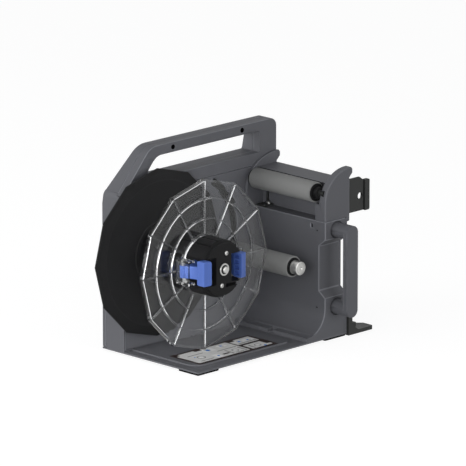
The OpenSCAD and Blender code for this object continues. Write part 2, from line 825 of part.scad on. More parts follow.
module motor() {
    color(DARK) difference() {
        union() {
            rod_y(motor_x, motor_z, chassis_back, chassis_back + motor_l, motor_d);
            rod_y(motor_x, motor_z, chassis_back - 1.5, chassis_back, motor_shaft_d + 3.5);
        }
        rod_y(motor_x, motor_z, chassis_back - 2, chassis_back + 9, motor_shaft_d + 2 * run_gap);
        motor_screw_places() rod_y(0, 0, chassis_back - 1, chassis_back + 5, screw_d);
    }
}

// Flanged tube that holds the two spindle bearings
module bearing_carrier() {
    color(STEEL) difference() {
        union() {
            rod_y(0, spindle_z, chassis_back, chassis_back + 4, carrier_flange_d);
            rod_y(0, spindle_z, chassis_back, chassis_back + carrier_l, bearing_d + 2 * carrier_t);
        }
        rod_y(0, spindle_z, chassis_back - 1, chassis_back + carrier_l + 1, bearing_d);
        carrier_screw_places() rod_y(0, 0, chassis_back - 1, chassis_back + 5, screw_d);
        rod_y(motor_x, motor_z, chassis_back - 1, chassis_back + carrier_l + 1, motor_d + 1);
    }
}

module bearing_ring(y0) {
    color(STEEL) difference() {
        rod_y(0, spindle_z, y0, y0 + bearing_w, bearing_d);
        rod_y(0, spindle_z, y0 - 1, y0 + bearing_w + 1, shaft_d + 2 * run_gap);
    }
}

module front_bearing() {
    bearing_ring(chassis_back);
}

module rear_bearing() {
    bearing_ring(chassis_back + carrier_l - bearing_w);
}

// Shoulder stud that the dancer arm swings on
module dancer_stud() {
    color(STEEL) {
        rod_y(pivot_x, pivot_z, arm_y - 0.2, chassis_y, dancer_shaft_d);
        rod_y(pivot_x, pivot_z, chassis_y - 1, chassis_back + 2, dancer_shaft_d * 0.6);
        rod_y(pivot_x, pivot_z, chassis_back, chassis_back + 2.5, dancer_shaft_d);
    }
}

// Torsion spring behind the dancer arm
module dancer_spring() {
    pts = coil_points(dancer_shaft_d / 2 + 2.2, spring_pitch, 1.5, 9, 9);
    echo(str("dancer spring least gap ", coil_gap(pts, spring_wire)));
    color(STEEL) translate([pivot_x, chassis_y - 0.75, pivot_z]) rotate([90, 0, 0])
        wire_tube(pts, spring_wire);
}

// Finger recess in the tower's front, seen from the right
module recess_outline() {
    slope = recess_ramp / recess_d;
    polygon([[-base_front - 1, recess_low - slope], [deep_y, recess_low + recess_ramp],
        [deep_y, recess_high - recess_ramp], [-base_front - 1, recess_high + slope]]);
}

// Side tower: curved foot, finger recess, sockets for the side handle
module tower() {
    arc_z = base_top + toe_h + fillet_r;
    arc = [for (a = [0:7.5:90]) [toe_x + fillet_r * sin(a), arc_z - fillet_r * cos(a)]];
    color(GREY) difference() {
        along_y(-base_front, 0)
            polygon(concat([[toe_x, base_top]], arc,
                [[tower_x, ledge_z], [cover_in, ledge_z], [cover_in, base_top]]));
        along_x(tower_x - 1, cover_in + 1) recess_outline();
        block([tower_x + wall, post_end, base_top + 3], [cover_in + 1, -wall, ledge_z - wall]);
        grip_sockets();
        block([toe_x - 1, -notch_y - notch_w, base_top + 1],
            [toe_x + notch_l, -notch_y, base_top + toe_h + 3]);
        block([tower_x - 1, -112, ledge_z - 10.5], [tower_x + wall + 1, -109, ledge_z - 5.5]);
        base_screw_places() translate([0, 0, base_top - 1]) cylinder(d = screw_d, h = 4);
        tower_screw_places() rod_x(0, 0, cover_in - 2, cover_in + 1, screw_d);
    }
}

// Sockets of the side handle's posts, with the holes of their cross pins
module grip_sockets() {
    for (i = [0, 1]) {
        z = grip_low + i * grip_spread;
        rod_y(grip_x, z, -base_front - 1, post_end + 0.4, grip_w + fit_gap);
        rod_y(grip_x, z, -base_front - 1, groove_t - base_front, grip_w + 2 * groove_w);
        rod_x(cross_y, z, tower_x - 1, grip_x, cross_d + fit_gap);
    }
}

module tower_screw_places() {
    for (y = [recess_d + 3 - base_front], z = [base_top + 22, ledge_z - 4]) translate([0, y, z]) children();
}

module tower_cover() {
    color(GREY) difference() {
        block([cover_in, -base_front, base_top], [tower_out, 0, ledge_z]);
        along_x(cover_in - 1, tower_out + 1) recess_outline();
        tower_screw_places() rod_x(0, 0, cover_in - 1, tower_out + 1, screw_d);
        tower_screw_places() rod_x(0, 0, tower_out - head_t, tower_out + 1, head_d + fit_gap);
        lower_screw_places() rod_x(0, 0, cover_in - 1, tower_out + 1, screw_d);
    }
}

module tower_screws() {
    color(STEEL) tower_screw_places() {
        rod_x(0, 0, tower_out - head_t, tower_out, head_d);
        rod_x(0, 0, cover_in - 1.6, tower_out - 0.5, screw_d - fit_gap);
    }
}

// Outline of a guide cheek above the ledge
module cheek_outline(inner_x, bottom) {
    swell = cheek_tip - 1.4 * tip_cut - inner_x;
    nose_z = cheek_top - tip_cut - tip_h;
    arc = [for (a = [0:7.5:90]) [inner_x + swell * (1 - cos(a)), cheek_top - swell_h * (1 - sin(a))]];
    polygon(concat([[inner_x, bottom]], arc, [[cheek_tip - 0.7 * tip_cut, cheek_top],
        [cheek_tip, cheek_top - tip_cut], [cheek_tip, nose_z], [cheek_back, nose_z + cheek_back - cheek_tip],
        [cheek_back, bottom]]));
}

// Front cheek: holds the guide axle and the upper docking bracket
module front_cheek() {
    color(GREY) difference() {
        union() {
            along_y(-base_front, upper_back) cheek_outline(tower_x, ledge_z);
            along_y(upper_back - 1, cheek_y) intersection() {
                cheek_outline(tower_x, ledge_z);
                translate([tower_x - 1, ledge_z]) square([cheek_tip, step_z - ledge_z]);
            }
            block([tower_out, -base_front, ledge_z - 6], [cheek_back, cheek_y, ledge_z + 1]);
        }
        rod_y(guide_x, guide_z, upper_back - axle_hold, upper_back + 1, axle_end_d + fit_gap);
        block([dock_left - fit_gap, dock_y - fit_gap, dock_z - fit_gap],
            [cheek_back + 1, dock_y + dock_t + fit_gap, dock_z + dock_h + fit_gap]);
        dock_screw_places() rod_y(0, 0, dock_y, cheek_y + 1, screw_d);
        dock_screw_places() rod_y(0, 0, cheek_y - head_t, cheek_y + 1, head_d + fit_gap);
        grip_sockets();
    }
}

// Rear cheek on the front panel
module rear_cheek() {
    color(GREY) difference() {
        along_y(-rear_cheek_t, 0) cheek_outline(tower_x - 11, ledge_z);
        rod_y(guide_x, guide_z, -rear_cheek_t - 1, 1, axle_d + 2 * fit_gap);
    }
}

// Hood behind the guide roller
module guide_hood() {
    color(GREY) {
        along_y(cheek_y, -rear_cheek_t) hood_outline(ledge_z);
        along_y(upper_back, cheek_y + 1) hood_outline(step_z + fit_gap);
    }
}

// Section of the hood from a given height up
module hood_outline(bottom) {
    polygon([[hood_x, bottom], [hood_x + hood_t, bottom], [hood_x + hood_t, hood_top - hood_t],
        [cheek_back, hood_top - hood_t], [cheek_back, hood_top], [hood_x - 10, hood_top],
        [hood_x - 5.5, hood_top - hood_t], [hood_x, hood_top - hood_t]]);
}

// Small black clip on the ledge
module axle_clip() {
    color(BLACK) difference() {
        union() {
            block([tower_x + 1, clip_y, ledge_z], [hood_x, clip_y + 13, ledge_z + clip_t]);
            block([hood_x - 2.5, clip_y + 8, ledge_z], [hood_x, clip_y + 11, ledge_z + 24]);
        }
        rod_z(clip_screw_x, clip_y + 5, ledge_z - 1, ledge_z + clip_t + 1, screw_d);
    }
}

// Black end holder of the guide axle, against the front cheek
module axle_holder() {
    color(BLACK) difference() {
        rod_y(guide_x, guide_z, upper_back, upper_back + holder_t, holder_d);
        rod_y(guide_x, guide_z, upper_back - 1, upper_back + holder_t + 1, axle_d);
    }
}

// Side carry handle: an upright bar on two posts
module side_handle() {
    front = -base_front - grip_out;
    color(GREY) difference() {
        union() {
            for (i = [0, 1]) rod_y(grip_x, grip_low + i * grip_spread, front, post_end, grip_w);
            block([grip_x - grip_w / 2, front, grip_low],
                [grip_x + grip_w / 2, front + grip_t, grip_low + grip_spread]);
        }
        for (i = [0, 1])
            rod_x(cross_y, grip_low + i * grip_spread, grip_x - grip_w, grip_x, cross_d + fit_gap);
    }
}

module cross_pins() {
    color(BLACK) for (i = [0, 1])
        rod_x(cross_y, grip_low + i * grip_spread, tower_x + 0.6, grip_x, cross_d);
}

module dock_screw_places() {
    for (z = [dock_z + 4, dock_z + 13]) translate([dock_left + 6, 0, z]) children();
}

// Upper docking bracket: a plate with a hole and a hooked end
module upper_bracket() {
    plate_x = cheek_back + dock_out;
    hook_x = plate_x + hook_gap;
    top = dock_z + dock_h;
    color(DARK) difference() {
        union() {
            along_y(dock_y, dock_y + dock_t)
                polygon([[dock_left, dock_z], [plate_x, dock_z], [plate_x, top - 4.4],
                    [plate_x - 6, top], [dock_left, top]]);
            block([plate_x - 1, dock_y + dock_t - 1, dock_z + 1],
                [plate_x + hook_gap + 1, dock_y + dock_t + 1, top - 6]);
            along_y(dock_y - 1, dock_y + dock_t + 1)
                polygon(rounded([[hook_x, dock_z - 1], [hook_x + hook_l, dock_z - 1],
                    [hook_x + hook_l, top - 5], [hook_x, top - 5]], [0, 2, 2, 0], 4));
        }
        rod_y(hole_x, hole_z, dock_y - 2, dock_y + dock_t + 1, dock_hole);
        dock_screw_places() rod_y(0, 0, dock_y - 1, dock_y + dock_t + 1, screw_d);
    }
}

module lower_screw_places() {
    for (y = [5 - base_front, 13 - base_front]) translate([0, y, step_h - 6]) children();
}

// Lower docking bracket: an upright on the tower and a tongue at table height
module lower_bracket() {
    near = -base_front - toe_out;
    far = near + tongue_w;
    tip = tower_out + tongue_out;
    web = [[0, 0], [step_w + 4, 0], [step_w + 4, tongue_t - 1], [upright_w, step_h - tongue_gap - 2],
        [upright_w, upright_h - tongue_gap], [0, upright_h - tongue_gap]];
    color(DARK) difference() {
        union() {
            along_y(near, near + web_t) translate([tower_out, tongue_gap]) polygon(web);
            block([tower_out, near + web_t / 2, tongue_gap], [tower_out + step_w, far, step_h]);
            translate([0, 0, tongue_gap]) linear_extrude(tongue_t)
                polygon([[tower_out, near], [tip - 2, near], [tip, near + 2], [tip, far - 8],
                    [tip - 8, far], [tower_out, far]]);
        }
        lower_screw_places() rod_x(0, 0, tower_out - 1, tower_out + step_w + 1, screw_d);
        lower_screw_places() rod_x(0, 0, tower_out + step_w - head_t, tower_out + step_w + 1, head_d);
    }
}

module bracket_screws() {
    color(STEEL) {
        dock_screw_places() {
            rod_y(0, 0, cheek_y - head_t, cheek_y, head_d);
            rod_y(0, 0, dock_y, cheek_y - 0.5, screw_d - fit_gap);
        }
        rod_z(clip_screw_x, clip_y + 5, ledge_z + clip_t, ledge_z + clip_t + head_t, head_d);
        rod_z(clip_screw_x, clip_y + 5, ledge_z, ledge_z + clip_t + 0.5, screw_d - fit_gap);
        lower_screw_places() {
            rod_x(0, 0, tower_out + step_w - head_t, tower_out + step_w, head_d - fit_gap);
            rod_x(0, 0, cover_in, tower_out + step_w - 0.5, screw_d - fit_gap);
        }
    }
}

module guide_axle() {
    color(STEEL) {
        rod_y(guide_x, guide_z, upper_back - axle_hold, upper_back + 1, axle_end_d);
        rod_y(guide_x, guide_z, upper_back + 0.5, -fit_gap, axle_d);
    }
}

// Sleeve of the guide roller
module guide_roller() {
    color(ROLLER) difference() {
        rod_y(guide_x, guide_z, cap_front + cap_t, -rear_cheek_t - rear_cap_t - 0.5, guide_d);
        rod_y(guide_x, guide_z, cap_front, 0, guide_d - 2 * sleeve_t);
    }
}

// Bearing caps pressed into both ends of the guide roller
module guide_caps() {
    front = cap_front;
    back = -rear_cheek_t - 0.5;
    plug = 10;
    color(BLACK) difference() {
        union() {
            rod_y(guide_x, guide_z, front, front + cap_t, cap_d);
            rod_y(guide_x, guide_z, front, front + cap_t + plug, guide_d - 2 * sleeve_t);
            rod_y(guide_x, guide_z, back - rear_cap_t, back, cap_d);
            rod_y(guide_x, guide_z, back - rear_cap_t - plug, back, guide_d - 2 * sleeve_t);
        }
        rod_y(guide_x, guide_z, front - 1, back + 1, axle_d + 2 * run_gap);
    }
}

// Spindle shaft, with a shoulder behind the rear flange
module spindle_shaft() {
    color(STEEL) difference() {
        union() {
            rod_y(0, spindle_z, hub_end_y, spindle_back, shaft_d);
            rod_y(0, spindle_z, flange_back_y, gear_y, shaft_d + 4);
        }
        rod_y(0, spindle_z, hub_end_y - 1, hub_end_y + 14, 5);
        clip_groove();
    }
}

module clip_groove() {
    difference() {
        rod_y(0, spindle_z, chassis_back + carrier_l + 0.2, chassis_back + carrier_l + 1.2, shaft_d + 2);
        rod_y(0, spindle_z, chassis_back + carrier_l, chassis_back + carrier_l + 2, shaft_d - 1.4);
    }
}

module shaft_clip() {
    color(STEEL) difference() {
        rod_y(0, spindle_z, chassis_back + carrier_l + 0.2, chassis_back + carrier_l + 1.2, shaft_d + 5);
        rod_y(0, spindle_z, chassis_back + carrier_l, chassis_back + carrier_l + 2, shaft_d - 1.4);
        block([-1.5, chassis_back + carrier_l, spindle_z],
            [1.5, chassis_back + carrier_l + 2, spindle_z + shaft_d]);
    }
}

module spool_gear() {
    color([0.85, 0.84, 0.78]) difference() {
        along_y(gear_y, gear_y + gear_t) translate([0, spindle_z])
            gear_outline(gear_teeth, motor_angle + 180 / gear_teeth);
        rod_y(0, spindle_z, gear_y - 1, gear_y + gear_t + 1, shaft_d);
    }
}

module motor_pinion() {
    color(STEEL) {
        along_y(gear_y, gear_y + gear_t) translate([motor_x, motor_z])
            gear_outline(pinion_teeth, motor_angle + 180);
        rod_y(motor_x, motor_z, gear_y, chassis_back + 8, motor_shaft_d);
    }
}

// Twelve-sided rear flange with a bevelled rim and a raised ring round the hub
module rear_flange() {
    edge_y = face_y + bevel_t;
    lip = rear_flange_r - rear_face_r;
    color(DARK) difference() {
        union() {
            intersection() {
                along_y(face_y, edge_y + rim_t) translate([0, spindle_z]) dodecagon(rear_flange_r);
                translate([0, edge_y, spindle_z]) rotate([90, 0, 0]) union() {
                    translate([0, 0, -6]) cylinder(r = rear_flange_r + 1, h = 6, $fn = 96);
                    cylinder(r1 = rear_flange_r, r2 = rear_flange_r - lip, h = bevel_t, $fn = 96);
                }
            }
            rod_y(0, spindle_z, face_y, flange_back_y, 2 * hub_r + 12);
            difference() {
                rod_y(0, spindle_z, face_y - 1.5, face_y + 1, 2 * hub_r + 12);
                rod_y(0, spindle_z, face_y - 2, face_y, 2 * hub_r + 2 * fit_gap);
            }
        }
        rod_y(0, spindle_z, face_y - 1, flange_back_y + 1, shaft_d);
    }
}

// Hub core between the two lever channels
module hub_core() {
    color(BLACK) difference() {
        block([-core_half, hub_end_y, spindle_z - channel_h / 2],
            [core_half, face_y, spindle_z + channel_h / 2]);
        rod_y(0, spindle_z, hub_end_y - 1, face_y + 1, shaft_d);
    }
}

module hub_screw_places() {
    for (s = [-1, 1]) translate([4 * s, 0, spindle_z + s * (channel_h / 2 + 2.3)]) children();
}

// Round part of the hub above or below the lever channels, with grooves along it
module hub_shell(side) {
    color(BLACK) difference() {
        along_y(hub_end_y, face_y) translate([0, spindle_z]) difference() {
            intersection() {
                circle(r = hub_r, $fn = 96);
                translate([-hub_r, side > 0 ? channel_h / 2 : -hub_r])
                    square([2 * hub_r, hub_r - channel_h / 2]);
            }
            for (a = [60, 82, 98, 120])
                rotate(a * side) translate([hub_r, 0]) square([2 * groove_d, 2], center = true);
            if (side < 0) label_slit(slit_w);
        }
        hub_screw_places() rod_y(0, 0, hub_end_y - 1, hub_end_y + 8, screw_d);
        difference() {
            rod_y(0, spindle_z, hub_end_y - 1, hub_end_y + hub_taper, 2 * hub_r + 2);
            translate([0, hub_end_y + hub_taper, spindle_z]) rotate([90, 0, 0])
                cylinder(r1 = hub_r, r2 = hub_r - hub_taper - 1, h = hub_taper + 1, $fn = 96);
        }
    }
}

// Slit under the right lever that takes the label's leading edge
module label_slit(width) {
    z = -channel_h / 2 - slit_lip - slit_w / 2;
    translate([slit_x, z - width / 2]) square([hub_r, width]);
    translate([slit_x, z]) circle(d = 1.4 * width);
}

module hub_upper_shell() {
    hub_shell(1);
}

module hub_lower_shell() {
    hub_shell(-1);
}

// End plate that closes the hub shells and the core
module hub_end_plate() {
    color(BLACK) difference() {
        along_y(hub_end_y - end_t, hub_end_y) translate([0, spindle_z]) difference() {
            circle(r = hub_r - hub_taper - 0.5, $fn = 96);
            for (s = [-1, 1])
                translate([s * (core_half + hub_r), 0]) square([2 * hub_r, channel_h], center = true);
            label_slit(slit_w + 0.8);
        }
        rod_y(0, spindle_z, hub_end_y - end_t - 1, hub_end_y + 1, 5 + fit_gap);
        hub_screw_places() rod_y(0, 0, hub_end_y - end_t - 1, hub_end_y + 1, screw_d);
    }
}

module hub_screws() {
    color(STEEL) hub_screw_places() {
        rod_y(0, 0, hub_end_y - end_t - head_t, hub_end_y - end_t, head_d);
        rod_y(0, 0, hub_end_y - end_t - 0.5, hub_end_y + 6, screw_d - fit_gap);
    }
}

// Bolt and washer on the end of the spindle
module spindle_bolt() {
    color(STEEL) {
        rod_y(0, spindle_z, hub_end_y - end_t - 1.5, hub_end_y - end_t, 16);
        rod_y(0, spindle_z, hub_end_y - end_t - 4.5, hub_end_y - end_t - 1, 8.5);
        rod_y(0, spindle_z, hub_end_y - end_t - 1, hub_end_y + 12, 5 - fit_gap);
    }
}

// Clear front flange: ribbed plate with a shroud and ears for each lever
module front_flange() {
    hole = hub_r + slide_gap;
    color([0.8, 0.82, 0.84, 0.4]) difference() {
        union() {
            along_y(clear_front, clear_y) translate([0, spindle_z]) dodecagon(clear_r);
            along_y(clear_front - rib_h, clear_front + 0.2) translate([0, spindle_z]) {
                difference() {
                    dodecagon(clear_r);
                    dodecagon(clear_r - rib_w * 1.4);
                }
                for (r = [ring_inner, ring_outer]) difference() {
                    circle(r = r + rib_w / 2, $fn = 96);
                    circle(r = r - rib_w / 2, $fn = 96);
                }
                for (i = [0:11])
                    rotate(30 * i) translate([hole + 1, -rib_w / 2]) square([clear_r - hole - 2.2, rib_w]);
                circle(r = hole + 3, $fn = 96);
            }
            for (s = [-1, 1]) scale_x(s) lever_shroud();
        }
        rod_y(0, spindle_z, clear_front - rib_h - 1, clear_y + 1, 2 * hole);
        for (s = [-1, 1]) scale_x(s) {
            block([hole - 2, clear_front - shroud_l - 1, spindle_z - lever_room],
                [shroud_x, clear_front - 0.4, spindle_z + lever_room]);
            rod_z(pin_x, lever_pin_y, spindle_z - ear_top - 1, spindle_z + ear_top + 1, pin_d);
        }
    }
}

module scale_x(s) {
    if (s > 0) children();
    else mirror([1, 0, 0]) children();
}

// Walls above, below and outside the lever on the right
module lever_shroud() {
    outer = shroud_x + shroud_t;
    block([hub_r + slide_gap, clear_front - shroud_l, spindle_z - ear_top],
        [outer, clear_front + 0.2, spindle_z + ear_top]);
}

module lever_pins() {
    color(STEEL) for (s = [-1, 1])
        rod_z(s * pin_x, lever_pin_y, spindle_z - ear_top, spindle_z + ear_top, pin_d);
}

module lever_springs() {
    pts = coil_points(pin_d / 2 + 0.9, 1.2, 2.5, 3, 3);
    echo(str("lever spring least gap ", coil_gap(pts, lever_wire)));
    color(STEEL) for (s = [-1, 1]) translate([s * pin_x, lever_pin_y, spindle_z + lever_h / 2 + 1])
        wire_tube(pts, lever_wire);
}

// Lever on the right side, seen from above: paddle, arm, pin eye and nose
module lever() {
    front = clear_front - lever_reach;
    inner = paddle_x - paddle_w;
    nose_y = clear_front - 1.5;
    eye = pin_d + 5;
    back = front + paddle_l;
    arm_front = back - paddle_slant;
    half = paddle_h / 2;
    side = [[front, half], [front, -half], [back, -half], [back, half]];
    above = [[inner, front], [paddle_x, front + paddle_slant], [paddle_x, arm_front], [inner, back]];
    color(BLUE) difference() {
        union() {
            difference() {
                intersection() {
                    along_x(inner, paddle_x) translate([0, spindle_z])
                        polygon(rounded(side, [3, 3, 7, 7], 5));
                    translate([0, 0, spindle_z - half]) linear_extrude(paddle_h) polygon(above);
                }
                for (i = [-1.5:1.5])
                    block([inner - 1, front + paddle_slant + 1.2, spindle_z + 7.2 * i - 2.8],
                        [inner + paddle_w - 3.5, arm_front - 2.5, spindle_z + 7.2 * i + 2.8]);
            }
            translate([0, 0, spindle_z - lever_h / 2]) linear_extrude(lever_h) {
                polygon([[paddle_x - lever_t, arm_front - 2], [paddle_x, arm_front - 2],
                    [pin_x + lever_t / 2, lever_pin_y - 2], [pin_x - lever_t / 2, lever_pin_y - 2]]);
                polygon([[pin_x, lever_pin_y - lever_t / 2], [pin_x, lever_pin_y + lever_t / 2],
                    [core_half + nose_gap, nose_y + lever_t], [core_half + nose_gap, nose_y]]);
            }
            rod_z(pin_x, lever_pin_y, spindle_z - lever_h / 2, spindle_z + lever_h / 2, eye);
        }
        rod_z(pin_x, lever_pin_y, spindle_z - lever_h, spindle_z + lever_h, pin_d + 2 * run_gap);
    }
}

module left_lever() {
    scale_x(-1) lever();
}

module right_lever() {
    scale_x(1) lever();
}

// Arm that carries the dancer shaft inside the housing
module dancer_arm() {
    half = dancer_shaft_d / 2 + 5;
    color(DARK) along_y(arm_y, arm_y + arm_t) translate([pivot_x, pivot_z]) rotate(-arm_rest) difference() {
        union() {
            circle(r = half);
            translate([arm_l, 0]) circle(r = half);
            translate([0.6 * half, -0.7 * half]) square([arm_l - 1.2 * half, 1.4 * half]);
        }
        circle(d = dancer_shaft_d + 2 * run_gap);
        translate([arm_l, 0]) circle(d = dancer_shaft_d);
    }
}

module dancer_shaft() {
    near = sleeve_end - collar_l - knob_l + 2;
    color(STEEL) rod_y(roller_x, roller_z, near, arm_y + arm_t, dancer_shaft_d);
}

module dancer_knob() {
    near = sleeve_end - collar_l - 0.4;
    color(STEEL) difference() {
        union() {
            rod_y(roller_x, roller_z, near - knob_l, near, knob_d);
            rod_y(roller_x, roller_z, near - knob_l - 0.8, near, knob_d - 5);
        }
        rod_y(roller_x, roller_z, near - knob_l + 2.4, near + 1, dancer_shaft_d);
        rod_y(roller_x, roller_z, near - knob_l - 2, near - knob_l + 1, 4);
    }
}

module dancer_roller() {
    color(ROLLER) difference() {
        rod_y(roller_x, roller_z, sleeve_end, -roller_gap, dancer_d);
        rod_y(roller_x, roller_z, sleeve_end - 1, 0, dancer_shaft_d + 2 * run_gap);
    }
}

module dancer_collar() {
    color(BLACK) difference() {
        rod_y(roller_x, roller_z, sleeve_end - collar_l, sleeve_end, collar_d);
        rod_y(roller_x, roller_z, sleeve_end - collar_l - 1, sleeve_end + 1, dancer_shaft_d + 2 * run_gap);
    }
}

seat() base_plate();
seat() foot_pads();
seat() base_screws();
seat() label_plate();
seat() main_frame();
seat() handle_cover();
seat() handle_screws();
seat() front_panel();
seat() panel_standoffs();
seat() chassis_plate();
seat() chassis_screws();
seat() rear_cover();
seat() cover_screws();
seat() power_inlet();
seat() circuit_board();
seat() board_standoffs();
seat() motor();
seat() bearing_carrier();
seat() front_bearing();
seat() rear_bearing();
seat() dancer_stud();
seat() dancer_spring();
seat() tower();
seat() tower_cover();
seat() tower_screws();
seat() front_cheek();
seat() rear_cheek();
seat() guide_hood();
seat() axle_clip();
seat() axle_holder();
seat() side_handle();
seat() cross_pins();
seat() upper_bracket();
seat() lower_bracket();
seat() bracket_screws();
seat() guide_axle();
seat() spindle_shaft();
seat() shaft_clip();
seat() spool_gear();
seat() rear_flange();
seat() hub_core();
seat() hub_upper_shell();
seat() hub_lower_shell();
seat() hub_end_plate();
seat() hub_screws();
seat() spindle_bolt();
seat() motor_pinion();
seat() front_flange();
seat() lever_pins();
seat() lever_springs();
seat() left_lever();
seat() right_lever();
seat() guide_roller();
seat() guide_caps();
seat() dancer_arm();
seat() dancer_shaft();
seat() dancer_knob();
seat() dancer_roller();
seat() dancer_collar();
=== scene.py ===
"""Label rewinder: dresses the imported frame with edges, finishes and small parts, and sets the studio."""

from __future__ import annotations

import json
import logging
import math
from dataclasses import dataclass, field, replace
from enum import Enum, IntEnum

import bmesh
import bpy
from mathutils import Matrix, Vector

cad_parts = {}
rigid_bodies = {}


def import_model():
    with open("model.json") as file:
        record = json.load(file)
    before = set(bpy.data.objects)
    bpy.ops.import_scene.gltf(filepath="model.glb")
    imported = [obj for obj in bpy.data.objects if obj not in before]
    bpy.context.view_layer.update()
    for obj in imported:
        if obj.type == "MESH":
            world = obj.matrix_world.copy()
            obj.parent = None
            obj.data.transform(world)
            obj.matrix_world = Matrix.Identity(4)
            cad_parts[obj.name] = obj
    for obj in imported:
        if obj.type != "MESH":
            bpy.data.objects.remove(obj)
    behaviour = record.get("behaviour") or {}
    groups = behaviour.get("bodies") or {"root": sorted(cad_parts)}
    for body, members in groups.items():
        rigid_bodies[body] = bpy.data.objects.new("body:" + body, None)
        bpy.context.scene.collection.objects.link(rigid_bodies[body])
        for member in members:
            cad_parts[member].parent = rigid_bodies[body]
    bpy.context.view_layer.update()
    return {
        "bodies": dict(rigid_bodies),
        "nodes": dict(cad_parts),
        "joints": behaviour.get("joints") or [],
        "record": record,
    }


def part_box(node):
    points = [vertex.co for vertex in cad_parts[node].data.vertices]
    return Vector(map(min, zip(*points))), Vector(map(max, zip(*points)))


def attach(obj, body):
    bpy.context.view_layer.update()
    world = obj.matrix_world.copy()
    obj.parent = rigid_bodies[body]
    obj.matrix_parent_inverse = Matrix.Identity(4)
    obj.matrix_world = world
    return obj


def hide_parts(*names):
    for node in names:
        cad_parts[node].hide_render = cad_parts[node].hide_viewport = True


LOG = logging.getLogger("rewinder")
MM = 0.001
Colour = tuple[float, float, float]
Point = tuple[float, float, float]
Profile = list[tuple[float, float]]
Socket = str | int

# Distance in metres within which two corners are one
WELD = 2e-6
# Turn in degrees below which two faces are one
LEVEL_TURN = 0.6
# Length in millimetres below which an edge of a large moulding stays sharp
SHORT_EDGE = 2.0
# Spread of the roughness about its mean, and height of the grain in metres
ROUGH_SPREAD = 0.08
GRAIN_HEIGHT = 0.0002


def wire(tree: bpy.types.NodeTree, *links: tuple[bpy.types.Node, Socket, bpy.types.Node, Socket]) -> None:
    """Joins sockets of a node tree.

    Args:
        tree: Tree that holds the nodes.
        links: Node and output that each link leaves, then node and input that it enters.
    """
    for source, output, target, entry in links:
        tree.links.new(source.outputs[output], target.inputs[entry])


class Pattern(Enum):
    """Ways in which a surface is broken up."""

    MOULDED = "moulded"
    TURNED = "turned"


class Shading:
    """Shader node groups that several finishes share."""

    _made: dict[str, bpy.types.NodeTree] = {}

    @classmethod
    def _start(cls, name: str,
               inputs: dict[str, float]) -> tuple[bpy.types.NodeTree, bpy.types.Node, bpy.types.Node]:
        """Begins a group with float inputs and the outputs Height and Tone.

        Args:
            name: Name of the group.
            inputs: Default value for each named input.

        Returns:
            The group with its input and output nodes.
        """
        tree = bpy.data.node_groups.new(name, "ShaderNodeTree")
        for label, value in inputs.items():
            socket = tree.interface.new_socket(label, in_out="INPUT", socket_type="NodeSocketFloat")
            socket.default_value = value
        for label in ("Height", "Tone"):
            tree.interface.new_socket(label, in_out="OUTPUT", socket_type="NodeSocketFloat")
        return tree, tree.nodes.new("NodeGroupInput"), tree.nodes.new("NodeGroupOutput")

    @classmethod
    def moulded(cls) -> bpy.types.NodeTree:
        """Returns the fine spark-eroded grain of moulded and coated surfaces, with slow clouds of tone."""
        if "moulded" in cls._made:
            return cls._made["moulded"]
        tree, given, out = cls._start("moulded_grain", {"Scale": 1500.0, "Cloud": 14.0})
        place = tree.nodes.new("ShaderNodeTexCoord")
        grain = tree.nodes.new("ShaderNodeTexNoise")
        grain.inputs["Detail"].default_value = 3.0
        pits = tree.nodes.new("ShaderNodeTexVoronoi")
        cloud = tree.nodes.new("ShaderNodeTexNoise")
        cloud.inputs["Detail"].default_value = 5.0
        both = tree.nodes.new("ShaderNodeMath")
        both.operation = "MULTIPLY_ADD"
        both.inputs[1].default_value = 0.6
        wire(tree, (place, "Object", grain, "Vector"), (place, "Object", pits, "Vector"),
             (place, "Object", cloud, "Vector"), (given, "Scale", grain, "Scale"),
             (given, "Scale", pits, "Scale"), (given, "Cloud", cloud, "Scale"), (pits, "Distance", both, 0),
             (grain, "Fac", both, 2), (both, "Value", out, "Height"), (cloud, "Fac", out, "Tone"))
        cls._made["moulded"] = tree
        return tree

    @classmethod
    def turned(cls) -> bpy.types.NodeTree:
        """Returns the fine rings that a lathe leaves about an axis along Y."""
        if "turned" in cls._made:
            return cls._made["turned"]
        tree, given, out = cls._start("turned_rings", {"Scale": 2500.0, "Axis X": 0.0, "Axis Z": 0.0})
        place = tree.nodes.new("ShaderNodeTexCoord")
        split = tree.nodes.new("ShaderNodeSeparateXYZ")
        wire(tree, (place, "Object", split, "Vector"))
        flat = tree.nodes.new("ShaderNodeCombineXYZ")
        for axis in ("X", "Z"):
            away = tree.nodes.new("ShaderNodeMath")
            away.operation = "SUBTRACT"
            wire(tree, (split, axis, away, 0), (given, "Axis " + axis, away, 1),
                 (away, "Value", flat, axis))
        radius = tree.nodes.new("ShaderNodeVectorMath")
        radius.operation = "LENGTH"
        wire(tree, (flat, "Vector", radius, 0))
        along = tree.nodes.new("ShaderNodeMath")
        wire(tree, (radius, "Value", along, 0), (split, "Y", along, 1))
        rings = tree.nodes.new("ShaderNodeTexNoise")
        rings.noise_dimensions = "1D"
        rings.inputs["Detail"].default_value = 2.0
        wire(tree, (along, "Value", rings, "W"), (given, "Scale", rings, "Scale"))
        cloud = tree.nodes.new("ShaderNodeTexNoise")
        cloud.inputs["Scale"].default_value = 60.0
        wire(tree, (place, "Object", cloud, "Vector"), (rings, "Fac", out, "Height"),
             (cloud, "Fac", out, "Tone"))
        cls._made["turned"] = tree
        return tree


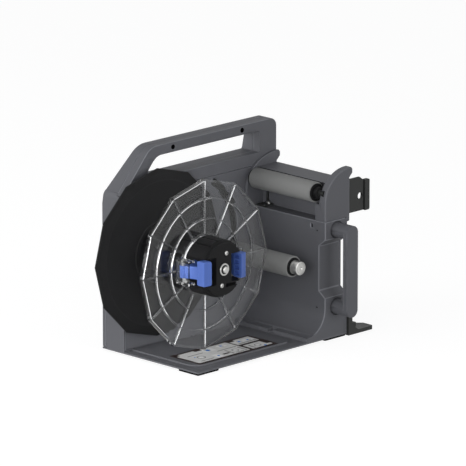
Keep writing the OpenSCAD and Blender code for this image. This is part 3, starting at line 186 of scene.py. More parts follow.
@dataclass(frozen=True)
class Finish:
    """An opaque surface.

    Attributes:
        name: Name of the material.
        colour: Linear colour of the surface.
        roughness: Mean roughness.
        specular: Specular level.
        metallic: Share of metal.
        tone: Spread of the colour between its lighter and darker clouds.
        scale: Scale of the grain.
        depth: Strength of the grain's bump.
        pattern: How the surface is broken up.
        axis: X and Z of the axis of a turned surface.
        highlight_lift: How much lighter the rounded edges are painted, a painted highlight for the light that
            they catch.
    """

    name: str
    colour: Colour
    roughness: float
    specular: float = 0.3
    metallic: float = 0.0
    tone: float = 0.06
    scale: float = 1500.0
    depth: float = 0.12
    pattern: Pattern = Pattern.MOULDED
    axis: tuple[float, float] = (0.0, 0.0)
    highlight_lift: float = 1.2

    def edge(self) -> Finish:
        """Returns the finish of this surface's rounded edges, lighter and a little smoother: a painted
        highlight for the light that the edges catch.
        """
        highlight_lift = tuple(min(1.0, c * self.highlight_lift) for c in self.colour)
        return replace(self, name=self.name + "_edge", colour=highlight_lift, roughness=self.roughness * 0.9)

    def about(self, x: float, z: float) -> Finish:
        """Returns this turned finish about another axis."""
        return replace(self, name=f"{self.name}_{round(x * 1000)}_{round(z * 1000)}", axis=(x, z))

    def _group(self, tree: bpy.types.NodeTree) -> bpy.types.Node:
        """Places the pattern's group and sets its inputs.

        Args:
            tree: Node tree of the material.

        Returns:
            The group node.
        """
        group = tree.nodes.new("ShaderNodeGroup")
        if self.pattern is Pattern.TURNED:
            group.node_tree = Shading.turned()
            group.inputs["Axis X"].default_value = self.axis[0]
            group.inputs["Axis Z"].default_value = self.axis[1]
        else:
            group.node_tree = Shading.moulded()
        group.inputs["Scale"].default_value = self.scale
        return group

    def material(self) -> bpy.types.Material:
        """Returns the material, made once for each name."""
        made = bpy.data.materials.get(self.name)
        if made:
            return made
        made = bpy.data.materials.new(self.name)
        made.use_nodes = True
        tree = made.node_tree
        shader = tree.nodes["Principled BSDF"]
        shader.inputs["Metallic"].default_value = self.metallic
        shader.inputs["Specular IOR Level"].default_value = self.specular
        group = self._group(tree)
        mix = tree.nodes.new("ShaderNodeMix")
        mix.data_type = "RGBA"
        mix.inputs["A"].default_value = (*(c * (1 - self.tone) for c in self.colour), 1)
        mix.inputs["B"].default_value = (*(c * (1 + self.tone) for c in self.colour), 1)
        wire(tree, (group, "Tone", mix, "Factor"), (mix, "Result", shader, "Base Color"))
        rough = tree.nodes.new("ShaderNodeMapRange")
        rough.inputs["To Min"].default_value = max(0.02, self.roughness - ROUGH_SPREAD)
        rough.inputs["To Max"].default_value = min(1.0, self.roughness + ROUGH_SPREAD)
        wire(tree, (group, "Height", rough, "Value"), (rough, "Result", shader, "Roughness"))
        bump = tree.nodes.new("ShaderNodeBump")
        bump.inputs["Strength"].default_value = self.depth
        bump.inputs["Distance"].default_value = GRAIN_HEIGHT
        wire(tree, (group, "Height", bump, "Height"), (bump, "Normal", shader, "Normal"))
        made.diffuse_color = (*self.colour, 1)
        return made


@dataclass(frozen=True)
class ClearFinish:
    """A see-through moulding.

    Attributes:
        name: Name of the material.
        colour: Linear tint.
        roughness: Roughness of its faces.
        bend: Refractive index.
        clear: Share of the light that passes through.
        shade: Tint of the lamp light that passes through.
    """

    name: str
    colour: Colour
    roughness: float
    bend: float
    clear: float = 1.0
    shade: Colour = (0.93, 0.93, 0.94)

    def edge(self) -> ClearFinish:
        """Returns the frosty finish of ribs and rims."""
        return replace(self, name=self.name + "_rib", roughness=0.10, clear=0.955)

    def material(self) -> bpy.types.Material:
        """Returns the material, which lets lamp light through to what lies behind it."""
        made = bpy.data.materials.get(self.name)
        if made:
            return made
        made = bpy.data.materials.new(self.name)
        made.use_nodes = True
        tree = made.node_tree
        shader = tree.nodes["Principled BSDF"]
        shader.inputs["Base Color"].default_value = (*self.colour, 1)
        shader.inputs["Transmission Weight"].default_value = self.clear
        shader.inputs["IOR"].default_value = self.bend
        group = tree.nodes.new("ShaderNodeGroup")
        group.node_tree = Shading.moulded()
        group.inputs["Scale"].default_value = 400.0
        rough = tree.nodes.new("ShaderNodeMapRange")
        rough.inputs["To Min"].default_value = self.roughness * 0.6
        rough.inputs["To Max"].default_value = self.roughness * 1.6
        wire(tree, (group, "Tone", rough, "Value"), (rough, "Result", shader, "Roughness"))
        path = tree.nodes.new("ShaderNodeLightPath")
        through = tree.nodes.new("ShaderNodeBsdfTransparent")
        through.inputs["Color"].default_value = (*self.shade, 1)
        mix = tree.nodes.new("ShaderNodeMixShader")
        wire(tree, (path, "Is Shadow Ray", mix, 0), (shader, "BSDF", mix, 1), (through, "BSDF", mix, 2),
             (mix, "Shader", tree.nodes["Material Output"], "Surface"))
        made.diffuse_color = (*self.colour, 0.3)
        return made


AnyFinish = Finish | ClearFinish

# Body greys; the lighter finish on their eased edges is a painted highlight, fainter on the soft one
BODY = Finish("grey_moulding", (0.105, 0.107, 0.118), 0.55, specular=0.22, tone=0.04, depth=0.10, highlight_lift=1.75)
SOFT_BODY = replace(BODY, name="grey_moulding_soft", highlight_lift=1.2)
FLOOR_COAT = Finish("grey_powder_coat", (0.124, 0.126, 0.138), 0.55, specular=0.22, tone=0.05, scale=2200.0,
                    highlight_lift=1.5)
# Black of the black mouldings, also painted as shade on the floor of the bolt's cup
BLACK_MOULDING_AND_SHADE = Finish("black_moulding", (0.0085, 0.0085, 0.009), 0.5, specular=0.10, tone=0.10)
FLANGE_BLACK = Finish("black_flange", (0.012, 0.012, 0.0125), 0.6, specular=0.11, tone=0.10, scale=1800.0)
BLACK_STEEL = Finish("black_coated_steel", (0.030, 0.031, 0.030), 0.5, specular=0.2, tone=0.08)
# Black of the rubber feet, also painted as shade into the handle's screw wells and onto the screws in them
RUBBER_AND_SHADE_BLACK = Finish("foot_rubber", (0.003, 0.003, 0.003), 0.9, specular=0.0, tone=0.12, scale=2600.0, depth=0.25)
STEEL = Finish("turned_steel", (0.48, 0.48, 0.465), 0.32, specular=0.5, metallic=1.0, tone=0.05, scale=2500.0,
               depth=0.10, pattern=Pattern.TURNED)
SLEEVE = Finish("roller_sleeve", (0.212, 0.214, 0.211), 0.7, specular=0.2, tone=0.05, scale=1600.0,
                depth=0.16, pattern=Pattern.TURNED)
BLUE = Finish("blue_moulding", (0.078, 0.146, 0.455), 0.42, specular=0.25, tone=0.05, scale=1200.0,
              depth=0.06)
ACETAL = Finish("acetal_gear", (0.62, 0.59, 0.52), 0.5, tone=0.03)
BOARD = Finish("board_mask", (0.02, 0.12, 0.05), 0.4, specular=0.4, tone=0.10)
LABEL_PALE = Finish("label_pale", (0.72, 0.72, 0.71), 0.45, specular=0.25, tone=0.06, scale=3000.0,
                    depth=0.04)
LABEL_DARK = Finish("label_border", (0.028, 0.018, 0.016), 0.45, specular=0.25, tone=0.08, scale=3000.0,
                    depth=0.04)
LABEL_GREY = replace(LABEL_PALE, name="label_grey", colour=(0.22, 0.22, 0.22))
LABEL_WHITE = replace(LABEL_PALE, name="label_white", colour=(0.90, 0.90, 0.89))
LABEL_BLUE = replace(LABEL_PALE, name="label_blue", colour=(0.02, 0.22, 0.66))
CLEAR = ClearFinish("clear_moulding", (0.87, 0.88, 0.89), roughness=0.03, bend=1.30)


class Maker:
    """Makes meshes and hands them to the frame."""

    def __init__(self, frame: dict) -> None:
        """Keeps the loaded frame.
        """
        self.nodes: dict[str, bpy.types.Object] = frame["nodes"]
        self.body_of: dict[str, str] = {
            node: body for body, members in frame["record"]["behaviour"]["bodies"].items()
            for node in members}

    def body(self, node: str) -> str:
        """Returns the body that a node rides on."""
        return self.body_of[node]

    @staticmethod
    def add(name: str, shape: bmesh.types.BMesh, finishes: list[AnyFinish],
            smooth: float = 30.0) -> bpy.types.Object:
        """Links a mesh to the scene.

        Args:
            name: Name of the piece.
            shape: Mesh in the frame, which is freed.
            finishes: Finish of each material slot.
            smooth: Greatest angle in degrees that is shaded as one surface.

        Returns:
            The new object.
        """
        mesh = bpy.data.meshes.new(name)
        shape.to_mesh(mesh)
        shape.free()
        for finish in finishes:
            mesh.materials.append(finish.material())
        piece = bpy.data.objects.new(name, mesh)
        bpy.context.scene.collection.objects.link(piece)
        mesh.polygons.foreach_set("use_smooth", [True] * len(mesh.polygons))
        mesh.set_sharp_from_angle(angle=math.radians(smooth))
        return piece

    @staticmethod
    def bake(piece: bpy.types.Object) -> None:
        """Turns a piece's modifiers into plain mesh."""
        graph = bpy.context.evaluated_depsgraph_get()
        mesh = bpy.data.meshes.new_from_object(piece.evaluated_get(graph), depsgraph=graph)
        piece.modifiers.clear()
        piece.data = mesh

    def settle(self, piece: bpy.types.Object, slot: str, *stands_for: str) -> None:
        """Hands a piece to the frame in the place of CAD nodes.

        Args:
            piece: The finished piece.
            slot: Material slot of the record, which is not used.
            stands_for: Nodes that the piece stands for, all of one body.
        """
        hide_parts(*stands_for)
        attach(piece, self.body(stands_for[0]))
        LOG.info("%s stands for %s with %d faces", piece.name, ", ".join(stands_for),
                 len(piece.data.polygons))

    def eased(self, node: str, finish: AnyFinish, slot: str, width: float, steps: int = 2,
              turn: float = 35.0, least: float = 0.0, above: float = 0.0) -> bpy.types.Object:
        """Makes a node's shape again with eased edges.

        Args:
            node: CAD node to follow.
            finish: Finish of its faces.
            slot: Material slot of the record.
            width: Width of the eased edge, in millimetres.
            steps: Faces across the eased edge.
            turn: Least angle in degrees of an edge that is eased.
            least: Least length in millimetres of an edge that is eased.
            above: Height in millimetres below which edges stay sharp.

        Returns:
            The piece that stands for the node.
        """
        shape = bmesh.new()
        shape.from_mesh(self.nodes[node].data)
        bmesh.ops.remove_doubles(shape, verts=shape.verts, dist=WELD)
        bmesh.ops.dissolve_limit(shape, angle_limit=math.radians(LEVEL_TURN), verts=shape.verts,
                                 edges=shape.edges)
        for face in shape.faces:
            face.material_index = 0
        weight = shape.edges.layers.float.new("bevel_weight_edge")
        for side in shape.edges:
            bent = len(side.link_faces) == 2 and side.calc_face_angle() > math.radians(turn)
            high = max(corner.co.z for corner in side.verts)
            side[weight] = float(bent and side.calc_length() >= least * MM and high >= above * MM)
        piece = self.add(node + "_eased", shape, [finish, finish.edge()])
        bevel = piece.modifiers.new("eased_edges", "BEVEL")
        bevel.width = width * MM
        bevel.segments = steps
        bevel.limit_method = "WEIGHT"
        # On a large moulding, clamping would thin every eased edge to suit the smallest hole
        bevel.use_clamp_overlap = least == 0
        bevel.harden_normals = True
        # The eased faces take the second slot, the edge finish with its painted highlight
        bevel.material = 1
        self.bake(piece)
        self.settle(piece, slot, node)
        return piece

    def dress(self, node: str, finish: AnyFinish) -> None:
        """Gives a node that keeps its own shape a finish.

        Args:
            node: CAD node.
            finish: Its finish.
        """
        item = self.nodes[node]
        if not item.material_slots:
            item.data.materials.append(finish.material())
        for holder in item.material_slots:
            holder.material = finish.material()
        LOG.info("%s takes %s", node, finish.name)

    @staticmethod
    def axis(node: str) -> tuple[float, float, float]:
        """Returns X and Z of a round node's axis along Y, and its outer radius."""
        low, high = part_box(node)
        return (low.x + high.x) / 2, (low.z + high.z) / 2, (high.x - low.x) / 2

    @staticmethod
    def skin(shape: bmesh.types.BMesh, rings: list[list[bmesh.types.BMVert]], steps: int) -> None:
        """Joins each ring of corners to the next one with faces.

        Args:
            shape: Mesh that holds the corners.
            rings: Rings in order, each with a corner for every step or a single one.
            steps: Number of steps round the axis.
        """
        for first, second in zip(rings, rings[1:]):
            for i in range(steps):
                corners = [first[i % len(first)], first[(i + 1) % len(first)],
                           second[(i + 1) % len(second)], second[i % len(second)]]
                unique = list(dict.fromkeys(corners))
                if len(unique) > 2:
                    shape.faces.new(unique)

    @staticmethod
    def lathe(profile: Profile, x: float, z: float, steps: int = 96,
              closed: bool = True) -> bmesh.types.BMesh:
        """Turns a profile about an axis along Y.

        Args:
            profile: Radius and Y of each point in metres, in order.
            x: X of the axis.
            z: Z of the axis.
            steps: Number of steps round the axis.
            closed: Whether the last point joins the first, as in a tube.

        Returns:
            The turned mesh with its faces outwards.
        """
        shape = bmesh.new()
        rings: list[list[bmesh.types.BMVert]] = []
        for radius, y in profile:
            if radius < 1e-7:
                rings.append([shape.verts.new((x, y, z))])
                continue
            rings.append([shape.verts.new((x + radius * math.cos(a), y, z + radius * math.sin(a)))
                          for a in (2 * math.pi * i / steps for i in range(steps))])
        Maker.skin(shape, rings + rings[:1] if closed else rings, steps)
        bmesh.ops.recalc_face_normals(shape, faces=shape.faces)
        return shape


@dataclass(frozen=True)
class Screw:
    """A pan-head screw with a cross recess.

    Attributes:
        seat: Where the head sits, in the frame.
        way: Direction that the head faces.
        head: Diameter of the head, in millimetres.
        rise: Height of the head, in millimetres.
    """

    seat: Vector
    way: Point
    head: float
    rise: float


class ScrewSets:
    """Screws made by Geometry Nodes from one head.

    Attributes:
        outline: Radius and height of the head's points, as shares of its radius and height.
        recess: Half width, reach and depth of the cross recess, as shares of the head.
        recess_top: Share of the height above which the recess is cut.
    """

    outline: Profile = [
        (0.0, 1.0), (0.1, 0.998), (0.2, 0.99), (0.3, 0.98), (0.4, 0.96), (0.5, 0.93), (0.6, 0.89),
        (0.7, 0.84), (0.8, 0.76), (0.9, 0.62), (0.97, 0.45), (1.0, 0.25), (1.0, 0.0), (0.45, 0.0),
        (0.45, -1.2)]
    recess: Point = (0.13, 0.58, 0.55)
    recess_top: float = 0.7

    def __init__(self, maker: Maker) -> None:
        """Makes the shared head and the node tree.

        Args:
            maker: Maker of the pieces.
        """
        self.maker = maker
        self.head = self._head()
        self.tree, self.sockets = self._tree()

    @classmethod
    def _head(cls) -> bpy.types.Object:
        """Returns a head of unit radius and unit height on the Z axis, with a short shank below."""
        shape = bmesh.new()
        steps = 40
        half, reach, depth = cls.recess
        rings = []
        for radius, height in cls.outline:
            ring = []
            for i in range(1 if radius == 0 else steps):
                a = 2 * math.pi * i / steps
                x, y = radius * math.cos(a), radius * math.sin(a)
                near, far = sorted((abs(x), abs(y)))
                sunk = height > cls.recess_top and near < half and far < reach
                ring.append(shape.verts.new((x, y, height - (depth if sunk else 0.0))))
            rings.append(ring)
        Maker.skin(shape, rings, steps)
        shape.faces.new(list(reversed(rings[-1])))
        bmesh.ops.recalc_face_normals(shape, faces=shape.faces)
        mesh = bpy.data.meshes.new("screw_head")
        shape.to_mesh(mesh)
        shape.free()
        return bpy.data.objects.new("screw_head", mesh)

    @staticmethod
    def _tree() -> tuple[bpy.types.NodeTree, dict[str, str]]:
        """Returns the tree that sets a head on each point, and the identifiers of its inputs."""
        tree = bpy.data.node_groups.new("screw_set", "GeometryNodeTree")
        tree.is_modifier = True
        kinds = {"Places": "NodeSocketGeometry", "Head": "NodeSocketObject", "Finish": "NodeSocketMaterial"}
        keys = {label: tree.interface.new_socket(label, in_out="INPUT", socket_type=kind).identifier
                for label, kind in kinds.items()}
        tree.interface.new_socket("Screws", in_out="OUTPUT", socket_type="NodeSocketGeometry")
        given = tree.nodes.new("NodeGroupInput")
        out = tree.nodes.new("NodeGroupOutput")
        head = tree.nodes.new("GeometryNodeObjectInfo")
        wire(tree, (given, "Head", head, "Object"))
        way = tree.nodes.new("GeometryNodeInputNamedAttribute")
        way.data_type = "FLOAT_VECTOR"
        way.inputs["Name"].default_value = "way"
        size = tree.nodes.new("GeometryNodeInputNamedAttribute")
        size.data_type = "FLOAT_VECTOR"
        size.inputs["Name"].default_value = "size"
        turn = tree.nodes.new("FunctionNodeAlignRotationToVector")
        turn.axis = "Z"
        wire(tree, (way, "Attribute", turn, "Vector"))
        spread = tree.nodes.new("GeometryNodeInstanceOnPoints")
        wire(tree, (given, "Places", spread, "Points"), (head, "Geometry", spread, "Instance"),
             (turn, "Rotation", spread, "Rotation"), (size, "Attribute", spread, "Scale"))
        real = tree.nodes.new("GeometryNodeRealizeInstances")
        wire(tree, (spread, "Instances", real, "Geometry"))
        coat = tree.nodes.new("GeometryNodeSetMaterial")
        wire(tree, (real, "Geometry", coat, "Geometry"), (given, "Finish", coat, "Material"),
             (coat, "Geometry", out, "Screws"))
        return tree, keys

    def _measure(self, island: list[Vector]) -> Screw:
        """Reads a screw's place and size from its plain solid.

        Args:
            island: Corners of the solid.

        Returns:
            The screw, with its head at the wider end.
        """
        low = Vector(min(p[k] for p in island) for k in range(3))
        high = Vector(max(p[k] for p in island) for k in range(3))
        middle, size = (low + high) / 2, high - low
        axis = max(range(3), key=lambda k: size[k])
        spread = {p: (p - middle - Vector((p - middle)[k] if k == axis else 0 for k in range(3))).length
                  for p in (q.copy().freeze() for q in island)}
        radius = max(spread.values())
        head = [p[axis] for p, r in spread.items() if r > 0.9 * radius]
        sign = 1.0 if sum(head) / len(head) > middle[axis] else -1.0
        seat = middle.copy()
        seat[axis] = min(head) if sign > 0 else max(head)
        way = tuple(sign if k == axis else 0.0 for k in range(3))
        return Screw(seat, way, 2 * radius / MM, (max(head) - min(head)) / MM)

    def places(self, node: str) -> list[Screw]:
        """Returns the screws of a node, one for each of its solids."""
        shape = bmesh.new()
        shape.from_mesh(self.maker.nodes[node].data)
        bmesh.ops.remove_doubles(shape, verts=shape.verts, dist=WELD)
        left = set(shape.verts)
        screws = []
        while left:
            island, edge = [], [left.pop()]
            while edge:
                corner = edge.pop()
                island.append(corner.co.copy())
                near = {e.other_vert(corner) for e in corner.link_edges} & left
                left -= near
                edge.extend(near)
            screws.append(self._measure(island))
        shape.free()
        return sorted(screws, key=lambda s: tuple(round(c, 5) for c in s.seat))

    def build(self, node: str, finish: Finish) -> None:
        """Makes one node's screws.

        Args:
            node: CAD node that the screws stand for.
            finish: Finish of the heads.
        """
        screws = self.places(node)
        mesh = bpy.data.meshes.new(node + "_heads")
        mesh.from_pydata([s.seat for s in screws], [], [])
        way = mesh.attributes.new("way", "FLOAT_VECTOR", "POINT")
        size = mesh.attributes.new("size", "FLOAT_VECTOR", "POINT")
        for i, screw in enumerate(screws):
            way.data[i].vector = screw.way
            size.data[i].vector = (screw.head / 2 * MM, screw.head / 2 * MM, screw.rise * MM)
        piece = bpy.data.objects.new(node + "_heads", mesh)
        bpy.context.scene.collection.objects.link(piece)
        nodes = piece.modifiers.new("screw_set", "NODES")
        nodes.node_group = self.tree
        nodes[self.sockets["Head"]] = self.head
        nodes[self.sockets["Finish"]] = finish.material()
        self.maker.bake(piece)
        piece.data.polygons.foreach_set("use_smooth", [True] * len(piece.data.polygons))
        piece.data.set_sharp_from_angle(angle=math.radians(40))
        self.maker.settle(piece, "steel", node)

    def clear(self) -> None:
        """Removes the shared head once all screws are made."""
        bpy.data.objects.remove(self.head)


class Ink(IntEnum):
    """Material slots of the label."""

    DARK = 0
    PALE = 1
    GREY = 2
    WHITE = 3
    BLUE = 4


@dataclass(frozen=True)
class Patch:
    """A flat patch of the label, placed as shares of its length and depth.

    Attributes:
        left: Share of the length at the patch's left side.
        back: Share of the depth at its back, counted from the label's back edge.
        right: Share of the length at its right side.
        front: Share of the depth at its front.
        level: Number of layers below the patch.
        finish: Material slot of the label.
        corner: Radius of its corners, in millimetres.
    """

    left: float
    back: float
    right: float
    front: float
    level: int
    finish: Ink
    corner: float = 0.8


@dataclass
class Assembly:
    """A sub-assembly of the rewinder.

    Attributes:
        maker: Maker of its pieces.
    """

    maker: Maker

    def build(self) -> None:
        """Makes the pieces that stand for CAD nodes."""

    def dress(self) -> None:
        """Gives the nodes that keep their own shape their finishes."""


@dataclass
class Base(Assembly):
    """Base plate, feet and the label with its blank panels.

    Attributes:
        layer: Thickness of one layer of the label, in millimetres.
        roll_level: Layer on which the drawn rolls end.
        roll_bore: Share of a drawn roll's radius at the inside of its ring.
        roll_core: Share of a drawn roll's radius at the edge of its core.
        dot_level: Layer on which the dots end.
        panels: Blank panels, and the dark marks over their borders.
        strips: Plain strips on the panels.
        rolls: Place of each drawn roll as shares of the label, and its radius in millimetres.
        dots: The same for the dots.
    """

    layer: float = 0.06
    roll_level: int = 3
    roll_bore: float = 0.78
    roll_core: float = 0.5
    dot_level: int = 4
    panels: tuple[Patch, ...] = (
        Patch(0.032, 0.085, 0.68, 0.905, 1, Ink.PALE, 2.5),
        Patch(0.70, 0.085, 0.968, 0.46, 1, Ink.PALE),
        Patch(0.715, 0.56, 0.968, 0.905, 1, Ink.PALE),
        Patch(0.0, 0.0, 0.075, 0.17, 2, Ink.DARK, 0.3),
        Patch(0.264, 0.0, 0.35, 0.17, 2, Ink.DARK, 0.3),
        Patch(0.68, 0.0, 0.77, 0.17, 2, Ink.DARK, 0.3),
        Patch(0.93, 0.5, 1.0, 0.8, 2, Ink.DARK, 0.3),
        Patch(0.39, 0.72, 0.47, 0.79, 2, Ink.DARK, 0.5))
    strips: tuple[Patch, ...] = (
        Patch(0.33, 0.18, 0.45, 0.38, 2, Ink.WHITE, 0.6),
        Patch(0.52, 0.16, 0.62, 0.30, 2, Ink.WHITE, 0.6),
        Patch(0.74, 0.18, 0.95, 0.34, 2, Ink.WHITE, 0.6),
        Patch(0.29, 0.62, 0.36, 0.88, 2, Ink.WHITE, 0.6),
        Patch(0.10, 0.33, 0.29, 0.36, 2, Ink.GREY, 0.3),
        Patch(0.09, 0.80, 0.25, 0.83, 2, Ink.GREY, 0.3),
        Patch(0.42, 0.47, 0.66, 0.50, 2, Ink.GREY, 0.3),
        Patch(0.48, 0.56, 0.495, 0.88, 2, Ink.GREY, 0.3),
        Patch(0.64, 0.56, 0.655, 0.88, 2, Ink.GREY, 0.3),
        Patch(0.52, 0.84, 0.62, 0.87, 2, Ink.GREY, 0.3),
        Patch(0.73, 0.38, 0.96, 0.41, 2, Ink.GREY, 0.3),
        Patch(0.75, 0.65, 0.765, 0.88, 2, Ink.GREY, 0.3))
    rolls: tuple[Point, ...] = (
        (0.18, 0.58, 6.0), (0.38, 0.28, 4.4), (0.565, 0.23, 3.6), (0.79, 0.26, 4.2), (0.90, 0.27, 3.6),
        (0.565, 0.70, 5.0), (0.83, 0.76, 4.8))
    dots: tuple[Point, ...] = (
        (0.38, 0.28, 2.9), (0.565, 0.23, 1.9), (0.785, 0.27, 2.0), (0.885, 0.29, 1.6), (0.33, 0.76, 1.9),
        (0.88, 0.88, 1.8), (0.13, 0.50, 1.2))

    def build(self) -> None:
        """Makes the plate, the pads and the label."""
        self.maker.eased("base_plate", FLOOR_COAT, "base", 0.8)
        self.maker.eased("foot_pads", RUBBER_AND_SHADE_BLACK, "rubber", 0.5)
        self._label()

    def _spot(self, along: float, deep: float, level: float) -> Vector:
        """Turns shares of the label into a place in the frame.

        Args:
            along: Share of the length, from the left.
            deep: Share of the depth, from the back.
            level: Layer above the label's underside.

        Returns:
            The place in metres.
        """
        low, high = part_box("label_plate")
        return Vector((low.x + along * (high.x - low.x), high.y + deep * (low.y - high.y),
                       low.z + level * self.layer * MM))

    @staticmethod
    def _plate(shape: bmesh.types.BMesh, rim: list[Vector], low: float, finish: Ink) -> None:
        """Adds a thin plate with the given rim to the label.

        Args:
            shape: Mesh that takes the plate.
            rim: Its upper rim, anticlockwise.
            low: Z of its underside.
            finish: Material slot.
        """
        top = [shape.verts.new(p) for p in rim]
        foot = [shape.verts.new((p.x, p.y, low)) for p in rim]
        faces = [shape.faces.new(top), shape.faces.new(list(reversed(foot)))]
        for i, j in zip(range(len(rim)), [*range(1, len(rim)), 0]):
            faces.append(shape.faces.new((foot[i], foot[j], top[j], top[i])))
        for face in faces:
            face.material_index = finish

    def _patch(self, shape: bmesh.types.BMesh, patch: Patch) -> None:
        """Adds a patch with rounded corners.

        Args:
            shape: Mesh that takes the patch.
            patch: Place and finish of the patch.
        """
        first = self._spot(patch.left, patch.front, patch.level + 1)
        last = self._spot(patch.right, patch.back, patch.level + 1)
        r = patch.corner * MM
        rim = []
        for x, y, start in ((last.x - r, last.y - r, 0), (first.x + r, last.y - r, 90),
                            (first.x + r, first.y + r, 180), (last.x - r, first.y + r, 270)):
            for k in range(5):
                a = math.radians(start + 22.5 * k)
                rim.append(Vector((x + r * math.cos(a), y + r * math.sin(a), first.z)))
        self._plate(shape, rim, self._spot(0, 0, patch.level).z, patch.finish)

    def _ring(self, shape: bmesh.types.BMesh, centre: Vector, outer: float, inner: float,
              finish: Ink) -> None:
        """Adds a flat ring, or a disc if it has no hole.

        Args:
            shape: Mesh that takes the ring.
            centre: Middle of its upper face.
            outer: Outer radius in metres.
            inner: Inner radius, or zero.
            finish: Material slot.
        """
        steps = 32
        turn = [(math.cos(2 * math.pi * i / steps), math.sin(2 * math.pi * i / steps)) for i in range(steps)]
        if inner <= 0:
            self._plate(shape, [centre + Vector((c * outer, s * outer, 0)) for c, s in turn],
                        centre.z - self.layer * MM, finish)
            return
        low = Vector((0, 0, -self.layer * MM))
        loops = [[shape.verts.new(centre + drop + Vector((c * r, s * r, 0))) for c, s in turn]
                 for r, drop in ((outer, Vector()), (inner, Vector()), (inner, low), (outer, low))]
        for first, second in zip(loops, [*loops[1:], loops[0]]):
            for i in range(steps):
                j = (i + 1) % steps
                shape.faces.new((first[i], first[j], second[j], second[i])).material_index = finish

    def _label(self) -> None:
        """Makes the label: a dark sheet, pale blank panels and generic round marks without any lettering."""
        shape = bmesh.new()
        self._patch(shape, Patch(0.0, 0.0, 1.0, 1.0, 0, Ink.DARK))
        for patch in (*self.panels, *self.strips):
            self._patch(shape, patch)
        for along, deep, radius in self.rolls:
            spot = self._spot(along, deep, self.roll_level)
            self._ring(shape, spot, radius * MM, self.roll_bore * radius * MM, Ink.GREY)
            self._ring(shape, spot, self.roll_core * radius * MM, 0.0, Ink.WHITE)
        for along, deep, radius in self.dots:
            self._ring(shape, self._spot(along, deep, self.dot_level), radius * MM, 0.0, Ink.BLUE)
        bmesh.ops.recalc_face_normals(shape, faces=shape.faces)
        piece = self.maker.add("label_sheet", shape,
                               [LABEL_DARK, LABEL_PALE, LABEL_GREY, LABEL_WHITE, LABEL_BLUE])
        self.maker.settle(piece, "label", "label_plate")


@dataclass
class Housing(Assembly):
    """Carry frame, its covers and the drive inside.

    Attributes:
        eased: Width of each moulding's eased edges, in millimetres.
        foot_top: Height in millimetres below which the edges stay sharp.
    """

    eased: dict[str, float] = field(default_factory=lambda: {
        "main_frame": 1.0, "handle_cover": 0.9, "front_panel": 0.5, "rear_cover": 0.8})
    foot_top: float = 9.0

    def build(self) -> None:
        """Makes the mouldings with eased edges."""
        for node, width in self.eased.items():
            finish = SOFT_BODY if node == "main_frame" else BODY
            self.maker.eased(node, finish, "body", width, least=SHORT_EDGE, above=self.foot_top)
        self.maker.eased("power_inlet", BLACK_MOULDING_AND_SHADE, "black_plastic", 0.2)

    def dress(self) -> None:
        """Gives the drive inside its finishes."""
        for node in ("panel_standoffs", "chassis_screws", "board_standoffs", "bearing_carrier",
                     "front_bearing", "rear_bearing", "dancer_stud", "dancer_spring", "spindle_shaft",
                     "shaft_clip", "motor_pinion"):
            self.maker.dress(node, STEEL)
        self.maker.dress("circuit_board", BOARD)
        for node in ("chassis_plate", "motor"):
            self.maker.dress(node, BLACK_STEEL)
        self.maker.dress("spool_gear", ACETAL)


@dataclass
class Spool(Assembly):
    """Rear flange, hub and the bolt on the spindle's end, with the bolt's sizes in millimetres.

    Attributes:
        washer_r: Outer radius of the cupped washer.
        washer_t: Height of its rim.
        rim_ease: Chamfer outside the rim.
        cup_r: Radius of its cup.
        cup_t: Thickness of the cup's floor.
        cup_ease: Chamfer inside the rim.
        head_r: Radius of the bolt's head.
        shank_r: Radius of its shank.
    """

    washer_r: float = 8.0
    washer_t: float = 1.5
    rim_ease: float = 0.4
    cup_r: float = 5.9
    cup_t: float = 0.6
    cup_ease: float = 0.3
    head_r: float = 4.3
    shank_r: float = 2.4

    def build(self) -> None:
        """Makes the mouldings and the bolt."""
        self.maker.eased("rear_flange", FLANGE_BLACK, "black_plastic", 0.8, turn=12.0)
        for node, width in (("hub_core", 0.5), ("hub_upper_shell", 0.7), ("hub_lower_shell", 0.7),
                            ("hub_end_plate", 0.8)):
            self.maker.eased(node, BLACK_MOULDING_AND_SHADE, "black_plastic", width)
        self._bolt()

    def _bolt(self) -> None:
        """Makes the cupped washer with the round bolt head inside it; the floor of the cup round the head is
        painted black as shade.
        """
        low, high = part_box("spindle_bolt")
        x, z, _ = self.maker.axis("spindle_bolt")
        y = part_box("hub_end_plate")[0].y
        front, rim = low.y, y - self.washer_t * MM
        head, cup, washer, shank = (r * MM for r in (self.head_r, self.cup_r, self.washer_r, self.shank_r))
        inside, outside, sole = self.cup_ease * MM, self.rim_ease * MM, y - self.cup_t * MM
        profile = [(0.0, front), (0.55 * head, front + 0.1 * MM), (0.9 * head, front + 0.6 * MM),
                   (head, front + 1.2 * MM), (head, sole), (cup, sole), (cup, rim + inside),
                   (cup + inside, rim), (washer - outside, rim), (washer, rim + outside), (washer, y),
                   (shank, y), (shank, high.y), (0.0, high.y)]
        shape = self.maker.lathe(profile, x, z, closed=False)
        # The cup floor round the head takes the black as painted shade of the narrow gap
        for face in shape.faces:
            spot = face.calc_center_median()
            radius = math.hypot(spot.x - x, spot.z - z)
            if head < radius < cup and abs(face.normal.y) > 0.5 and spot.y < y:
                face.material_index = 1
        piece = self.maker.add("spindle_bolt_turned", shape, [STEEL.about(x, z), BLACK_MOULDING_AND_SHADE])
        self.maker.settle(piece, "steel", "spindle_bolt")


